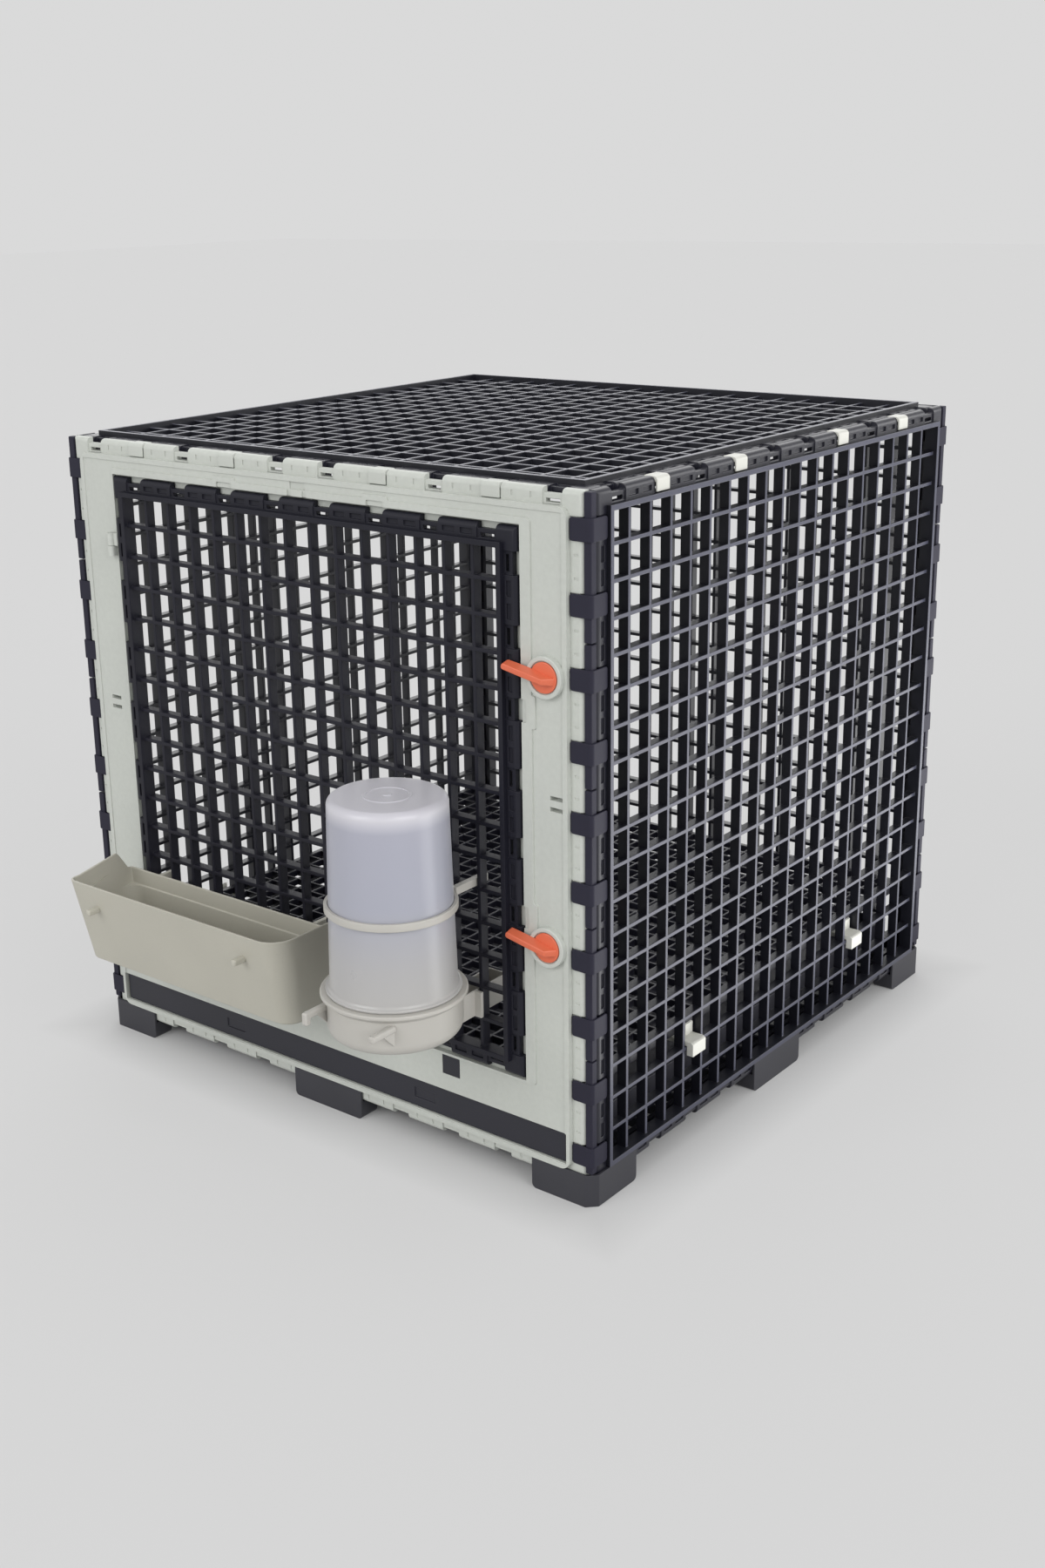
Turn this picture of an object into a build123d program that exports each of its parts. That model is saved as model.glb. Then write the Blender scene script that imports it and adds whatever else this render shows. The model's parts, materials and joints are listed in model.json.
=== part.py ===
"""Plastic animal cage with a grid door, a droppings drawer, a feeder and a drinker.

Millimetres. X runs to the right, Y to the back and Z up; the feet stand on Z = 0 and the
origin is under the middle of the whole outline, so the cage itself sits a little to the back.
"""

import math
import os

from build123d import *

os.makedirs("parts", exist_ok=True)

# Grid walls
CELL = 25.0  # mesh pitch
CELLS = 19  # cells across a wall
DOOR_CELLS = 15  # cells across the door
BORDER = 12.5  # outermost mesh line to the panel edge
RIB = 3.0  # width of a grid bar
LAYER = 4.0  # depth of the upright bars, and of the level bars behind them
LAYER_GAP = 0.02  # keeps the bars as bodies of their own
FLANGE = 6.0  # thickness of the toothed edge
RIM = 3.5  # height of the rim above the toothed edge
RIM_BACK = 2.5  # depth of the rim behind the toothed edge
RIM_INSET = 11.0  # panel edge to the outside of the rim
RIM_WIDTH = 4.0
NOTCH_WIDTH = 16.0  # clip seat in the toothed edge
NOTCH_DEPTH = 4.0

# Clips and corner connectors
FIT = 0.1  # clearance of every clip and foot on the panels
CLIP_PLATE = 1.5  # plate thickness
CLIP_REACH = 10.5  # plate length from the panel edge inwards
CLIP_CHAMFER = 3.0  # outer edge of a top clip
CLIP_PLACES = (-3.5, -1.5, 1.5, 3.5)  # in seats from the middle of the edge
STRIP_GAP = 1.0  # joint between two connectors of one edge

# Feet
SOLE = 15.0  # panel edge above the ground
FOOT_WALL = 2.4
FOOT_LIP = 10.5  # foot wall above the panel edge
FOOT_INNER = 10.0  # sole inwards from the panel edge
CORNER_LEG = 52.0
MIDDLE_FOOT = 72.0
FOOT_R = 6.0
FOOT_END_R = 5.0

# Front panel
LIP = 8.0  # door overlap on the panel behind it
DOOR_TOP = 27.0  # panel edge to the top of the door
DOOR_GAP = 0.3  # door to the panel behind it
DOOR_PLAY = 1.5  # door edge to the raised field around it
FIELD_R = 8.0
BEAD = 4.0  # bead round the raised field
BEAD_H = 0.8
TOP_RIM = 5.0  # rim round the doorway
SIDE_RIM = 8.5
BOTTOM_RIM = 2.0
DOORWAY_RIM_H = 2.0
BUMP = 23.0  # bumps in that rim, each round a pocket
BUMP_OUT = 3.0
BUMP_POCKET = 16.0
POCKET_DEPTH = 4.0
BUMP_PLACE = 3  # cells from the middle of the door
SLOT_LOW = 15.5  # drawer slot above the panel edge
SLOT_HEIGHT = 24.0
SLOT_SIDE = 3.0  # field left beside the slot
MARK_WIDTH = 11.0  # pairs of short slots beside the door
MARK_HEIGHT = 3.0
MARK_PITCH = 8.0
MARK_RISE = 13.0  # above the middle of the door
MARK_RIGHT = 229.5  # from the middle of the panel
MARK_LEFT = 218.0

# Hinge
HINGE_OUT = 5.0  # hinge line beside the door edge
KNUCKLE_R = 3.0
KNUCKLE_PLAY = 0.5  # knuckle to the raised field
HINGE_ROW = 3  # clip seats from the middle of the door to a hinge
KNUCKLE = 10.0
KNUCKLE_ROOT = 2.0  # arm of the knuckle on the door edge
HINGE_LUG = 8.0
HINGE_GAP = 0.3
PIN_R = 1.6
PIN_PLAY = 0.05

# Latches
LATCH_SHIFT = 2.8  # right of the middle of the side field
LATCH_UP = 101.5  # above the middle of the door
LATCH_DOWN = 92.0  # below it
BOSS_R = 16.5
BOSS_HEIGHT = 3.0
BOSS_RIM = 1.6  # ring round the disc of the latch
KNOB_R = 13.0
KNOB_PLAY = 0.4  # disc to the ring round it
KNOB_HEIGHT = 1.8
LATCH_HEIGHT = 9.0  # top of the lever above the back of the disc
LEVER = 31.8
LEVER_BACK = 11.0
LEVER_ROOT = 13.0
LEVER_TIP = 8.8
LEVER_DRAFT = 12.0
LEVER_TILT = 8.0
SHAFT_R = 5.0
SHAFT_PLAY = 0.05
SHAFT_END = 1.0  # shaft beyond the nut
NUT_R = 9.0
NUT = 3.0
SIDE_PLAY = 0.3  # end play of knobs and nuts

# Floor grid and its holders
FLOOR_CELL = 16.5
FLOOR_RIB = 2.0
FLOOR_LAYER = 3.0
FLOOR_BORDER = 5.0
FLOOR_PLAY = 6.5  # floor edge to the panel edge line
HOLDER_ROW = 2  # cells from the lowest mesh line to the bar with the holders
HOLDER_COLUMN = 5  # cells from the middle of the wall
HOLDER_WIDTH = 18.0
HOLDER_OUT = 12.0  # holder beyond the panel edge line
HOLDER_IN = 14.0
HOLDER_DROP = 12.5
HOLDER_TOP = 6.5  # bearing face above the bar that carries the holder
TONGUE = 8.0
LUG_WIDTH = 16.5
LUG_HEIGHT = 16.0
LUG_X = 130.0

# Drawer
TRAY_PLAY = 0.5
TRAY_WALL = 2.0
TRAY_RECESS = 1.5  # drawer front behind the raised field
RUNNER_WIDTH = 10.0
GRIP_X = 102.0
GRIP_WIDTH = 20.0
GRIP_HEIGHT = 8.0

# Feeder
FEEDER_ROW = 5.5  # cells from the middle of the door down to the bar with the hooks
FEEDER_COLUMN = 3.5  # cells from the middle of the door to the middle of the hooks
FEEDER_SHIFT = 0.5  # trough left of the middle of the hooks
FEEDER_LENGTH = 235.0
FEEDER_DEPTH = 67.5
FEEDER_TAPER = 4.0  # each end, rim to base
FEEDER_SLOPE = 15.0  # front wall, rim to base
FEEDER_OVER = 20.5  # rim above the bar that carries the hooks
FEEDER_UNDER = 52.0  # base below that bar
FEEDER_BACK = 11.0  # back wall above that bar
FEEDER_R = 20.0  # front right corner
FEEDER_BASE_R = 15.0
FEEDER_LEFT_R = 8.0
FEEDER_BACK_R = 3.0
FEEDER_WALL = 2.0
FEEDER_OFF = 12.5  # back wall in front of the toothed edge
EAR = 7.0  # rise of the left end above the rim
EAR_LENGTH = 56.0
EAR_TOP = 16.0  # highest point of the ear, from the back wall
EAR_FOOT = 5.0
FEEDER_PEG = 12.0
PEG_PLACES = (-87.0, 78.5)  # pegs in front, from the middle of the trough
LOW_WALL_END = 12.0  # full height at the right end of the back wall
HOOK_COLUMN = 3.5  # cells from the middle of the hooks
HOOK_WIDTH = 4.0
HOOK = 8.5
HOOK_CLAW = 3.5
HOOK_REACH = 12.0  # hook inside the toothed edge
HOOK_DOWN = 9.0

# Drinker
SPOUT_COLUMN = 6  # cells right of the middle of the door
SPOUT_ROW = 6.5  # cells down to the bar under the spout
PEG_ROW = 2.5  # cells down to the bar under the ring
DRINKER_OFF = 66.0  # axis in front of the toothed edge
DRINKER_SIDE = 17.5  # axis left of the spout
DISH_R = 48.6
DISH_BASE_R = 44.0
DISH_HEIGHT = 33.0
DISH_WALL = 2.0
DISH_LIP_R = 52.4
DISH_LIP = 3.0
SPOUT_WIDTH = 18.0
SPOUT_HEIGHT = 20.0
SPOUT_WALL = 1.5
SPOUT_IN = 30.0  # spout inside the toothed edge
SPOUT_COLLAR = 3.0
DISH_PEG_SIDE = 31.0  # pegs in front of the dish, from its axis
DISH_PEG_REACH = 60.0
DISH_PEG_UP = 23.0
DISH_FIN = 14.0  # fin under each of these pegs
BOTTLE_R = 45.2
BOTTLE_TOP_R = 42.1
BOTTLE_HEIGHT = 139.0
BOTTLE_WALL = 1.7
BOTTLE_FLANGE_R = 48.3
BOTTLE_FLANGE = 3.0
BOTTLE_SKIRT = 10.0
BOTTLE_EDGE = 4.0
BOTTLE_PLAY = 0.3
RING_PLAY = 0.35
RING = 2.6
RING_HEIGHT = 5.5
RING_DROP = 2.4  # ring below the underside of its pegs
PEG = 5.0
PEG_HEIGHT = 6.0
PEG_SIDE = 25.0
PEG_IN = 8.0
REST = 0.05  # hooks and spout above the bars they rest on

# Worked out from the above
PANEL = CELLS * CELL + 2 * BORDER
DOOR = DOOR_CELLS * CELL + 2 * BORDER
HALF = PANEL / 2
OUTER = HALF + FLANGE
SEAT = 2 * CELL
SEATS = (CELLS + 1) // 2
CLIP_WIDTH = NOTCH_WIDTH - 4 * FIT
FIELD = PANEL - 2 * RIM_INSET
FIELD_FACE = FLANGE + RIM
FRONT_REACH = OUTER + DRINKER_OFF + max(DISH_LIP_R, DISH_PEG_REACH)
BACK_REACH = HALF + HOLDER_OUT
MID_Y = (FRONT_REACH - BACK_REACH) / 2
MID_Z = SOLE + HALF
DOOR_Z = MID_Z + HALF - DOOR_TOP - DOOR / 2
DOOR_FACE = FLANGE + DOOR_GAP
HINGE_X = -DOOR / 2 - HINGE_OUT
HINGE_Y = MID_Y - HALF - FIELD_FACE - KNUCKLE_PLAY - KNUCKLE_R
HINGE_Z = [DOOR_Z - HINGE_ROW * SEAT, DOOR_Z + HINGE_ROW * SEAT]
LATCH_X = (DOOR / 2 + HALF - RIM_INSET) / 2 + LATCH_SHIFT
LATCH_FACE = FIELD_FACE + BOSS_HEIGHT
FLOOR_BAR = MID_Z - HALF + BORDER + HOLDER_ROW * CELL
FLOOR_Z = FLOOR_BAR + HOLDER_TOP + FIT
TRAY_Z = SOLE + SLOT_LOW + TRAY_PLAY
SLOT_WIDTH = FIELD - 2 * SLOT_SIDE

TOP = Plane(origin=(0, MID_Y, MID_Z + HALF - FLANGE), x_dir=(1, 0, 0), z_dir=(0, 0, 1))
BOTTOM = Plane(origin=(0, MID_Y, MID_Z - HALF + FLANGE), x_dir=(1, 0, 0), z_dir=(0, 0, -1))
RIGHT = Plane(origin=(HALF, MID_Y, MID_Z), x_dir=(0, 1, 0), z_dir=(1, 0, 0))
LEFT = Plane(origin=(-HALF, MID_Y, MID_Z), x_dir=(0, -1, 0), z_dir=(-1, 0, 0))
BACK = Plane(origin=(0, MID_Y + HALF, MID_Z), x_dir=(-1, 0, 0), z_dir=(0, 1, 0))
FRONT = Plane(origin=(0, MID_Y - HALF, MID_Z), x_dir=(1, 0, 0), z_dir=(0, -1, 0))
AT_DOOR = Plane(origin=(0, MID_Y - HALF, DOOR_Z), x_dir=(1, 0, 0), z_dir=(0, -1, 0))


def save(piece, name):
    """Label one finished piece and write its STEP file."""
    piece.part.label = name
    export_step(piece.part, f"parts/{name}.step")


def toothed_outline(size, seats):
    """Square panel outline with a clip seat at every second cell of its edges."""
    Rectangle(size, size)
    with GridLocations(SEAT, size, seats, 2):
        Rectangle(NOTCH_WIDTH, 2 * NOTCH_DEPTH, mode=Mode.SUBTRACT)
    with GridLocations(size, SEAT, 2, seats):
        Rectangle(2 * NOTCH_DEPTH, NOTCH_WIDTH, mode=Mode.SUBTRACT)


def grid_wall(plane, cells):
    """Toothed edge, rim and the two layers of bars; the plane lies on the inside of the edge."""
    size = cells * CELL + 2 * BORDER
    rim = size - 2 * RIM_INSET
    clear = rim - 2 * RIM_WIDTH
    with BuildSketch(plane) as face:
        toothed_outline(size, (cells + 1) // 2)
        Rectangle(clear, clear, mode=Mode.SUBTRACT)
    extrude(face.sketch, amount=FLANGE)
    with BuildSketch(plane.offset(-RIM_BACK)) as face:
        Rectangle(rim, rim)
        Rectangle(clear, clear, mode=Mode.SUBTRACT)
    extrude(face.sketch, amount=RIM_BACK + FLANGE + RIM)
    with BuildSketch(plane.offset(FLANGE - LAYER)) as face:
        with GridLocations(CELL, CELL, cells - 1, 1):
            Rectangle(RIB, clear - 2 * LAYER_GAP)
    extrude(face.sketch, amount=LAYER)
    with BuildSketch(plane.offset(FLANGE - 2 * LAYER - LAYER_GAP)) as face:
        with GridLocations(CELL, CELL, 1, cells - 1):
            Rectangle(clear - 2 * LAYER_GAP, RIB)
    extrude(face.sketch, amount=LAYER)


def edge_plane(wall, cap, along):
    """Plane across a cage edge: local x out of the wall, local y out of the cap."""
    out_wall = Vector(*wall)
    out_cap = Vector(*cap)
    run = out_wall.cross(out_cap)
    shift = Vector(abs(run.X), abs(run.Y), abs(run.Z)) * along
    centre = Vector(0, MID_Y, MID_Z)
    return Plane(origin=centre + (out_wall + out_cap) * HALF + shift, x_dir=out_wall, z_dir=run)


def wing_profile():
    """Section of a connector wing: a plate on each panel and a block in the corner between."""
    near = FLANGE + FIT
    far = near + CLIP_PLATE
    Polygon(
        (-CLIP_REACH, near),
        (-CLIP_REACH, far),
        (far, far),
        (far, -CLIP_REACH),
        (near, -CLIP_REACH),
        (near, FIT),
        (FIT, FIT),
        (FIT, near),
        align=None,
    )


def clip_profile():
    """Section of a top clip: it fills the seats of wall and top and grips the wall outside."""
    inner = FIT - NOTCH_DEPTH
    near = FLANGE + FIT
    far = near + CLIP_PLATE
    Polygon(
        (inner, inner),
        (near, inner),
        (near, -CLIP_REACH),
        (far, -CLIP_REACH),
        (far, -CLIP_CHAMFER),
        (far - CLIP_CHAMFER, 0),
        (inner, 0),
        align=None,
    )


def edge_clips(wall, cap):
    """Four snap clips along one top edge."""
    for place in CLIP_PLACES:
        with BuildSketch(edge_plane(wall, cap, place * SEAT)) as face:
            clip_profile()
        extrude(face.sketch, amount=CLIP_WIDTH / 2, both=True)


def corner_connectors(wall, cap):
    """Row of connectors up one upright edge, each a strip with two pairs of wings."""
    near = FLANGE + FIT
    for row in range(SEATS // 2):
        low = (row - SEATS / 4) * 2 * SEAT + STRIP_GAP / 2
        high = low + 2 * SEAT - STRIP_GAP
        low = max(low, FOOT_LIP + STRIP_GAP - HALF)
        high = min(high, HALF)
        with BuildSketch(edge_plane(wall, cap, (low + high) / 2)) as face:
            Polygon((FIT, FIT), (near, FIT), (near, near), (FIT, near), align=None)
        extrude(face.sketch, amount=(high - low) / 2, both=True)
        for wing in (2 * row, 2 * row + 1):
            with BuildSketch(edge_plane(wall, cap, (wing - SEATS / 2 + 0.5) * SEAT)) as face:
                wing_profile()
            extrude(face.sketch, amount=CLIP_WIDTH / 2, both=True)


def foot_profile():
    """Section of a foot: sole under the bottom panel, wall outside the side panel."""
    near = FLANGE + FIT
    far = near + FOOT_WALL
    Polygon(
        (-FOOT_INNER, FIT),
        (-FOOT_INNER, SOLE),
        (far, SOLE),
        (far, -FOOT_LIP),
        (near, -FOOT_LIP),
        (near, FIT),
        align=None,
    )


def middle_foot(wall):
    """Foot at the middle of one bottom edge."""
    with BuildSketch(edge_plane(wall, (0, 0, -1), 0)) as face:
        foot_profile()
    extrude(face.sketch, amount=MIDDLE_FOOT / 2, both=True)
    ends = edges().group_by(Axis.Z)[0].filter_by(Axis((0, 0, 0), wall))
    fillet(ends, FOOT_END_R)


def corner_foot(side, depth):
    """Foot with two legs under one corner; side and depth are the signs of X and Y."""
    end = OUTER + FIT + FOOT_WALL
    middle = end - CORNER_LEG / 2
    with BuildSketch(edge_plane((0, depth, 0), (0, 0, -1), side * middle)) as face:
        foot_profile()
    extrude(face.sketch, amount=CORNER_LEG / 2, both=True)
    with BuildSketch(edge_plane((side, 0, 0), (0, 0, -1), depth * middle)) as face:
        foot_profile()
    extrude(face.sketch, amount=CORNER_LEG / 2, both=True)
    upright = edges().filter_by(Axis.Z).sort_by_distance((0, MID_Y, SOLE))
    fillet(upright[-1], FOOT_R)


def floor_holder(wall, along):
    """Clip hung on a level bar of a wall, with a bearing face for the floor inside."""
    out = Vector(*wall)
    run = out.cross(Vector(0, 0, 1))
    shift = Vector(abs(run.X), abs(run.Y), 0) * along
    foot = Vector(0, MID_Y, FLOOR_BAR) + out * HALF + shift
    front = FLANGE + FIT
    with BuildSketch(Plane(origin=foot, x_dir=out, z_dir=run)) as face:
        Polygon(
            (front, -HOLDER_DROP),
            (HOLDER_OUT, -HOLDER_DROP),
            (HOLDER_OUT, -RIB / 2),
            (front + RIB / 2, HOLDER_TOP),
            (-HOLDER_IN, HOLDER_TOP),
            (-HOLDER_IN, RIB / 2 + FIT),
            (front, RIB / 2 + FIT),
            align=None,
        )
    extrude(face.sketch, amount=HOLDER_WIDTH / 2, both=True)
    with BuildSketch(Plane(origin=foot + Vector(0, 0, HOLDER_TOP), x_dir=out, z_dir=(0, 0, 1))) as face:
        with Locations((FLANGE - LAYER / 2, HOLDER_WIDTH / 4)):
            Rectangle(LAYER / 2, HOLDER_WIDTH / 3)
    extrude(face.sketch, amount=TONGUE)


def latch_hinge(lift):
    """Turning latch: thin disc, raised lever to the left, and the shaft through the panel."""
    tilt = math.radians(LEVER_TILT)
    place = Plane(
        origin=(LATCH_X, MID_Y - HALF, DOOR_Z + lift),
        x_dir=(-math.cos(tilt), 0, math.sin(tilt)),
        z_dir=(0, -1, 0),
    )
    back = place.offset(LATCH_FACE + SIDE_PLAY)
    with BuildSketch(back) as face:
        Circle(KNOB_R)
    extrude(face.sketch, amount=KNOB_HEIGHT)
    with BuildSketch(back.offset(KNOB_HEIGHT)) as face:
        Polygon(
            (-LEVER_BACK, LEVER_ROOT / 2),
            (0, LEVER_ROOT / 2),
            (LEVER, LEVER_TIP / 2),
            (LEVER, -LEVER_TIP / 2),
            (0, -LEVER_ROOT / 2),
            (-LEVER_BACK, -LEVER_ROOT / 2),
            align=None,
        )
    extrude(face.sketch, amount=LATCH_HEIGHT - KNOB_HEIGHT, taper=LEVER_DRAFT)
    with BuildSketch(back) as face:
        Circle(SHAFT_R)
    extrude(face.sketch, amount=-(LATCH_FACE + 2 * SIDE_PLAY + NUT + SHAFT_END))


def latch_nut(lift):
    """Push-on nut that holds a latch shaft behind the front panel."""
    place = Plane(origin=(LATCH_X, MID_Y - HALF, DOOR_Z + lift), x_dir=(1, 0, 0), z_dir=(0, -1, 0))
    with BuildSketch(place.offset(-SIDE_PLAY)) as face:
        RegularPolygon(NUT_R, 6)
        Circle(SHAFT_R + SHAFT_PLAY, mode=Mode.SUBTRACT)
    extrude(face.sketch, amount=-NUT)


def hinge_pin(height):
    """Bracket on the front panel with the pin that carries one knuckle of the door."""
    top = Plane((HINGE_X, HINGE_Y, height - KNUCKLE / 2 - HINGE_GAP))
    with BuildSketch(top) as face:
        Circle(KNUCKLE_R)
        with Locations((0, (KNUCKLE_R + KNUCKLE_PLAY) / 2)):
            Rectangle(2 * KNUCKLE_R, KNUCKLE_R + KNUCKLE_PLAY)
    extrude(face.sketch, amount=-HINGE_LUG)
    with BuildSketch(top) as face:
        Circle(PIN_R)
    extrude(face.sketch, amount=HINGE_GAP + KNUCKLE)


def trough_outline(length, depth, corner):
    """Plan of the feeder from the middle of its back: a large corner at the front right."""
    with Locations((0, -depth / 2)):
        Rectangle(length, depth)
    fillet(vertices().sort_by(Axis.Y)[:2].sort_by(Axis.X)[-1], corner)
    fillet(vertices().sort_by(Axis.Y)[:2].sort_by(Axis.X)[0], FEEDER_LEFT_R)
    fillet(vertices().sort_by(Axis.Y)[-2:], FEEDER_BACK_R)


# Grid panels
with BuildPart() as top_panel:
    grid_wall(TOP, CELLS)
save(top_panel, "top_panel")

with BuildPart() as bottom_panel:
    grid_wall(BOTTOM, CELLS)
save(bottom_panel, "bottom_panel")

with BuildPart() as left_panel:
    grid_wall(LEFT, CELLS)
save(left_panel, "left_panel")

with BuildPart() as right_panel:
    grid_wall(RIGHT, CELLS)
save(right_panel, "right_panel")

with BuildPart() as back_panel:
    grid_wall(BACK, CELLS)
save(back_panel, "back_panel")

# Front panel
with BuildPart() as front_panel:
    doorway = DOOR - 2 * LIP
    rebate = DOOR + 2 * DOOR_PLAY
    door_v = DOOR_Z - MID_Z
    slot_v = SLOT_LOW + SLOT_HEIGHT / 2 - HALF
    lug_v = FLOOR_Z - FIT - LUG_HEIGHT / 2 - MID_Z
    bump_at = BUMP_PLACE * CELL
    latch_places = [(LATCH_X, door_v + LATCH_UP), (LATCH_X, door_v - LATCH_DOWN)]
    with BuildSketch(FRONT):
        toothed_outline(PANEL, SEATS)
    extrude(amount=FLANGE)
    with BuildSketch(FRONT.offset(FLANGE)):
        RectangleRounded(FIELD, FIELD, FIELD_R)
    extrude(amount=RIM)
    with BuildSketch(FRONT.offset(FIELD_FACE)):
        RectangleRounded(FIELD, FIELD, FIELD_R)
        Rectangle(FIELD - 2 * BEAD, FIELD - 2 * BEAD, mode=Mode.SUBTRACT)
    extrude(amount=BEAD_H)
    with BuildSketch(FRONT.offset(FIELD_FACE)):
        with Locations((SIDE_RIM / 2, door_v + (TOP_RIM - BOTTOM_RIM) / 2)):
            Rectangle(rebate + SIDE_RIM, rebate + TOP_RIM + BOTTOM_RIM)
        with Locations((0, door_v + rebate / 2 + TOP_RIM)):
            with GridLocations(2 * bump_at, BUMP_OUT, 2, 1):
                Rectangle(BUMP, 2 * BUMP_OUT)
        with Locations((rebate / 2 + SIDE_RIM, door_v)):
            with GridLocations(BUMP_OUT, 2 * bump_at, 1, 2):
                Rectangle(2 * BUMP_OUT, BUMP)
    extrude(amount=DOORWAY_RIM_H)
    with BuildSketch(FRONT.offset(FIELD_FACE)):
        with Locations((0, door_v + rebate / 2)):
            with GridLocations(2 * bump_at, POCKET_DEPTH, 2, 1):
                Rectangle(BUMP_POCKET, 2 * POCKET_DEPTH)
        with Locations((rebate / 2, door_v)):
            with GridLocations(POCKET_DEPTH, 2 * bump_at, 1, 2):
                Rectangle(2 * POCKET_DEPTH, BUMP_POCKET)
    extrude(amount=DOORWAY_RIM_H, mode=Mode.SUBTRACT)
    with BuildSketch(FRONT.offset(FIELD_FACE)):
        with Locations(*latch_places):
            Circle(BOSS_R)
    extrude(amount=BOSS_HEIGHT + BOSS_RIM)
    with BuildSketch(FRONT.offset(LATCH_FACE)):
        with Locations(*latch_places):
            Circle(KNOB_R + KNOB_PLAY)
    extrude(amount=BOSS_RIM, mode=Mode.SUBTRACT)
    with BuildSketch(FRONT.offset(FLANGE)):
        with Locations((0, door_v)):
            Rectangle(rebate, rebate)
    extrude(amount=LATCH_FACE, mode=Mode.SUBTRACT)
    with BuildSketch(FRONT):
        with Locations((0, door_v)):
            Rectangle(doorway, doorway)
        with Locations((0, slot_v)):
            Rectangle(SLOT_WIDTH, SLOT_HEIGHT)
        with Locations(*latch_places):
            Circle(SHAFT_R + SHAFT_PLAY)
        with Locations((LUG_X, lug_v), (-LUG_X, lug_v)):
            Rectangle(LUG_WIDTH + 2 * FIT, LUG_HEIGHT + 2 * FIT)
        for mark_x in (MARK_RIGHT, -MARK_LEFT):
            with Locations((mark_x, door_v + MARK_RISE)):
                with GridLocations(MARK_PITCH, MARK_PITCH, 1, 2):
                    Rectangle(MARK_WIDTH, MARK_HEIGHT)
    extrude(amount=LATCH_FACE, mode=Mode.SUBTRACT)
save(front_panel, "front_panel")

# Door and its hinges
with BuildPart() as door_panel:
    grid_wall(AT_DOOR.offset(DOOR_FACE), DOOR_CELLS)
    for height in HINGE_Z:
        with BuildSketch(Plane.XY.offset(height)):
            with Locations((HINGE_X, HINGE_Y)):
                Circle(KNUCKLE_R)
            with Locations((HINGE_X + (HINGE_OUT + KNUCKLE_ROOT) / 2, HINGE_Y + KNUCKLE_R / 2)):
                Rectangle(HINGE_OUT + KNUCKLE_ROOT, KNUCKLE_R)
            with Locations((HINGE_X, HINGE_Y)):
                Circle(PIN_R + PIN_PLAY, mode=Mode.SUBTRACT)
        extrude(amount=KNUCKLE / 2, both=True)
save(door_panel, "door_panel")

with BuildPart() as lower_hinge_pin:
    hinge_pin(HINGE_Z[0])
save(lower_hinge_pin, "lower_hinge_pin")

with BuildPart() as upper_hinge_pin:
    hinge_pin(HINGE_Z[1])
save(upper_hinge_pin, "upper_hinge_pin")

# Latches
with BuildPart() as upper_latch:
    latch_hinge(LATCH_UP)
save(upper_latch, "upper_latch")

with BuildPart() as lower_latch:
    latch_hinge(-LATCH_DOWN)
save(lower_latch, "lower_latch")

with BuildPart() as upper_latch_nut:
    latch_nut(LATCH_UP)
save(upper_latch_nut, "upper_latch_nut")

with BuildPart() as lower_latch_nut:
    latch_nut(-LATCH_DOWN)
save(lower_latch_nut, "lower_latch_nut")

# Corner connectors
with BuildPart() as front_right_connectors:
    corner_connectors((1, 0, 0), (0, -1, 0))
save(front_right_connectors, "front_right_connectors")

with BuildPart() as front_left_connectors:
    corner_connectors((-1, 0, 0), (0, -1, 0))
save(front_left_connectors, "front_left_connectors")

with BuildPart() as back_right_connectors:
    corner_connectors((1, 0, 0), (0, 1, 0))
save(back_right_connectors, "back_right_connectors")

with BuildPart() as back_left_connectors:
    corner_connectors((-1, 0, 0), (0, 1, 0))
save(back_left_connectors, "back_left_connectors")

# Snap clips of the top edges
with BuildPart() as top_front_clips:
    edge_clips((0, -1, 0), (0, 0, 1))
save(top_front_clips, "top_front_clips")

with BuildPart() as top_right_clips:
    edge_clips((1, 0, 0), (0, 0, 1))
save(top_right_clips, "top_right_clips")

with BuildPart() as top_back_clips:
    edge_clips((0, 1, 0), (0, 0, 1))
save(top_back_clips, "top_back_clips")

with BuildPart() as top_left_clips:
    edge_clips((-1, 0, 0), (0, 0, 1))
save(top_left_clips, "top_left_clips")

# Feet
with BuildPart() as front_right_foot:
    corner_foot(1, -1)
save(front_right_foot, "front_right_foot")

with BuildPart() as front_left_foot:
    corner_foot(-1, -1)
save(front_left_foot, "front_left_foot")

with BuildPart() as back_right_foot:
    corner_foot(1, 1)
save(back_right_foot, "back_right_foot")

with BuildPart() as back_left_foot:
    corner_foot(-1, 1)
save(back_left_foot, "back_left_foot")

with BuildPart() as front_foot:
    middle_foot((0, -1, 0))
save(front_foot, "front_foot")

with BuildPart() as right_foot:
    middle_foot((1, 0, 0))
save(right_foot, "right_foot")

with BuildPart() as back_foot:
    middle_foot((0, 1, 0))
save(back_foot, "back_foot")

with BuildPart() as left_foot:
    middle_foot((-1, 0, 0))
save(left_foot, "left_foot")

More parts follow.
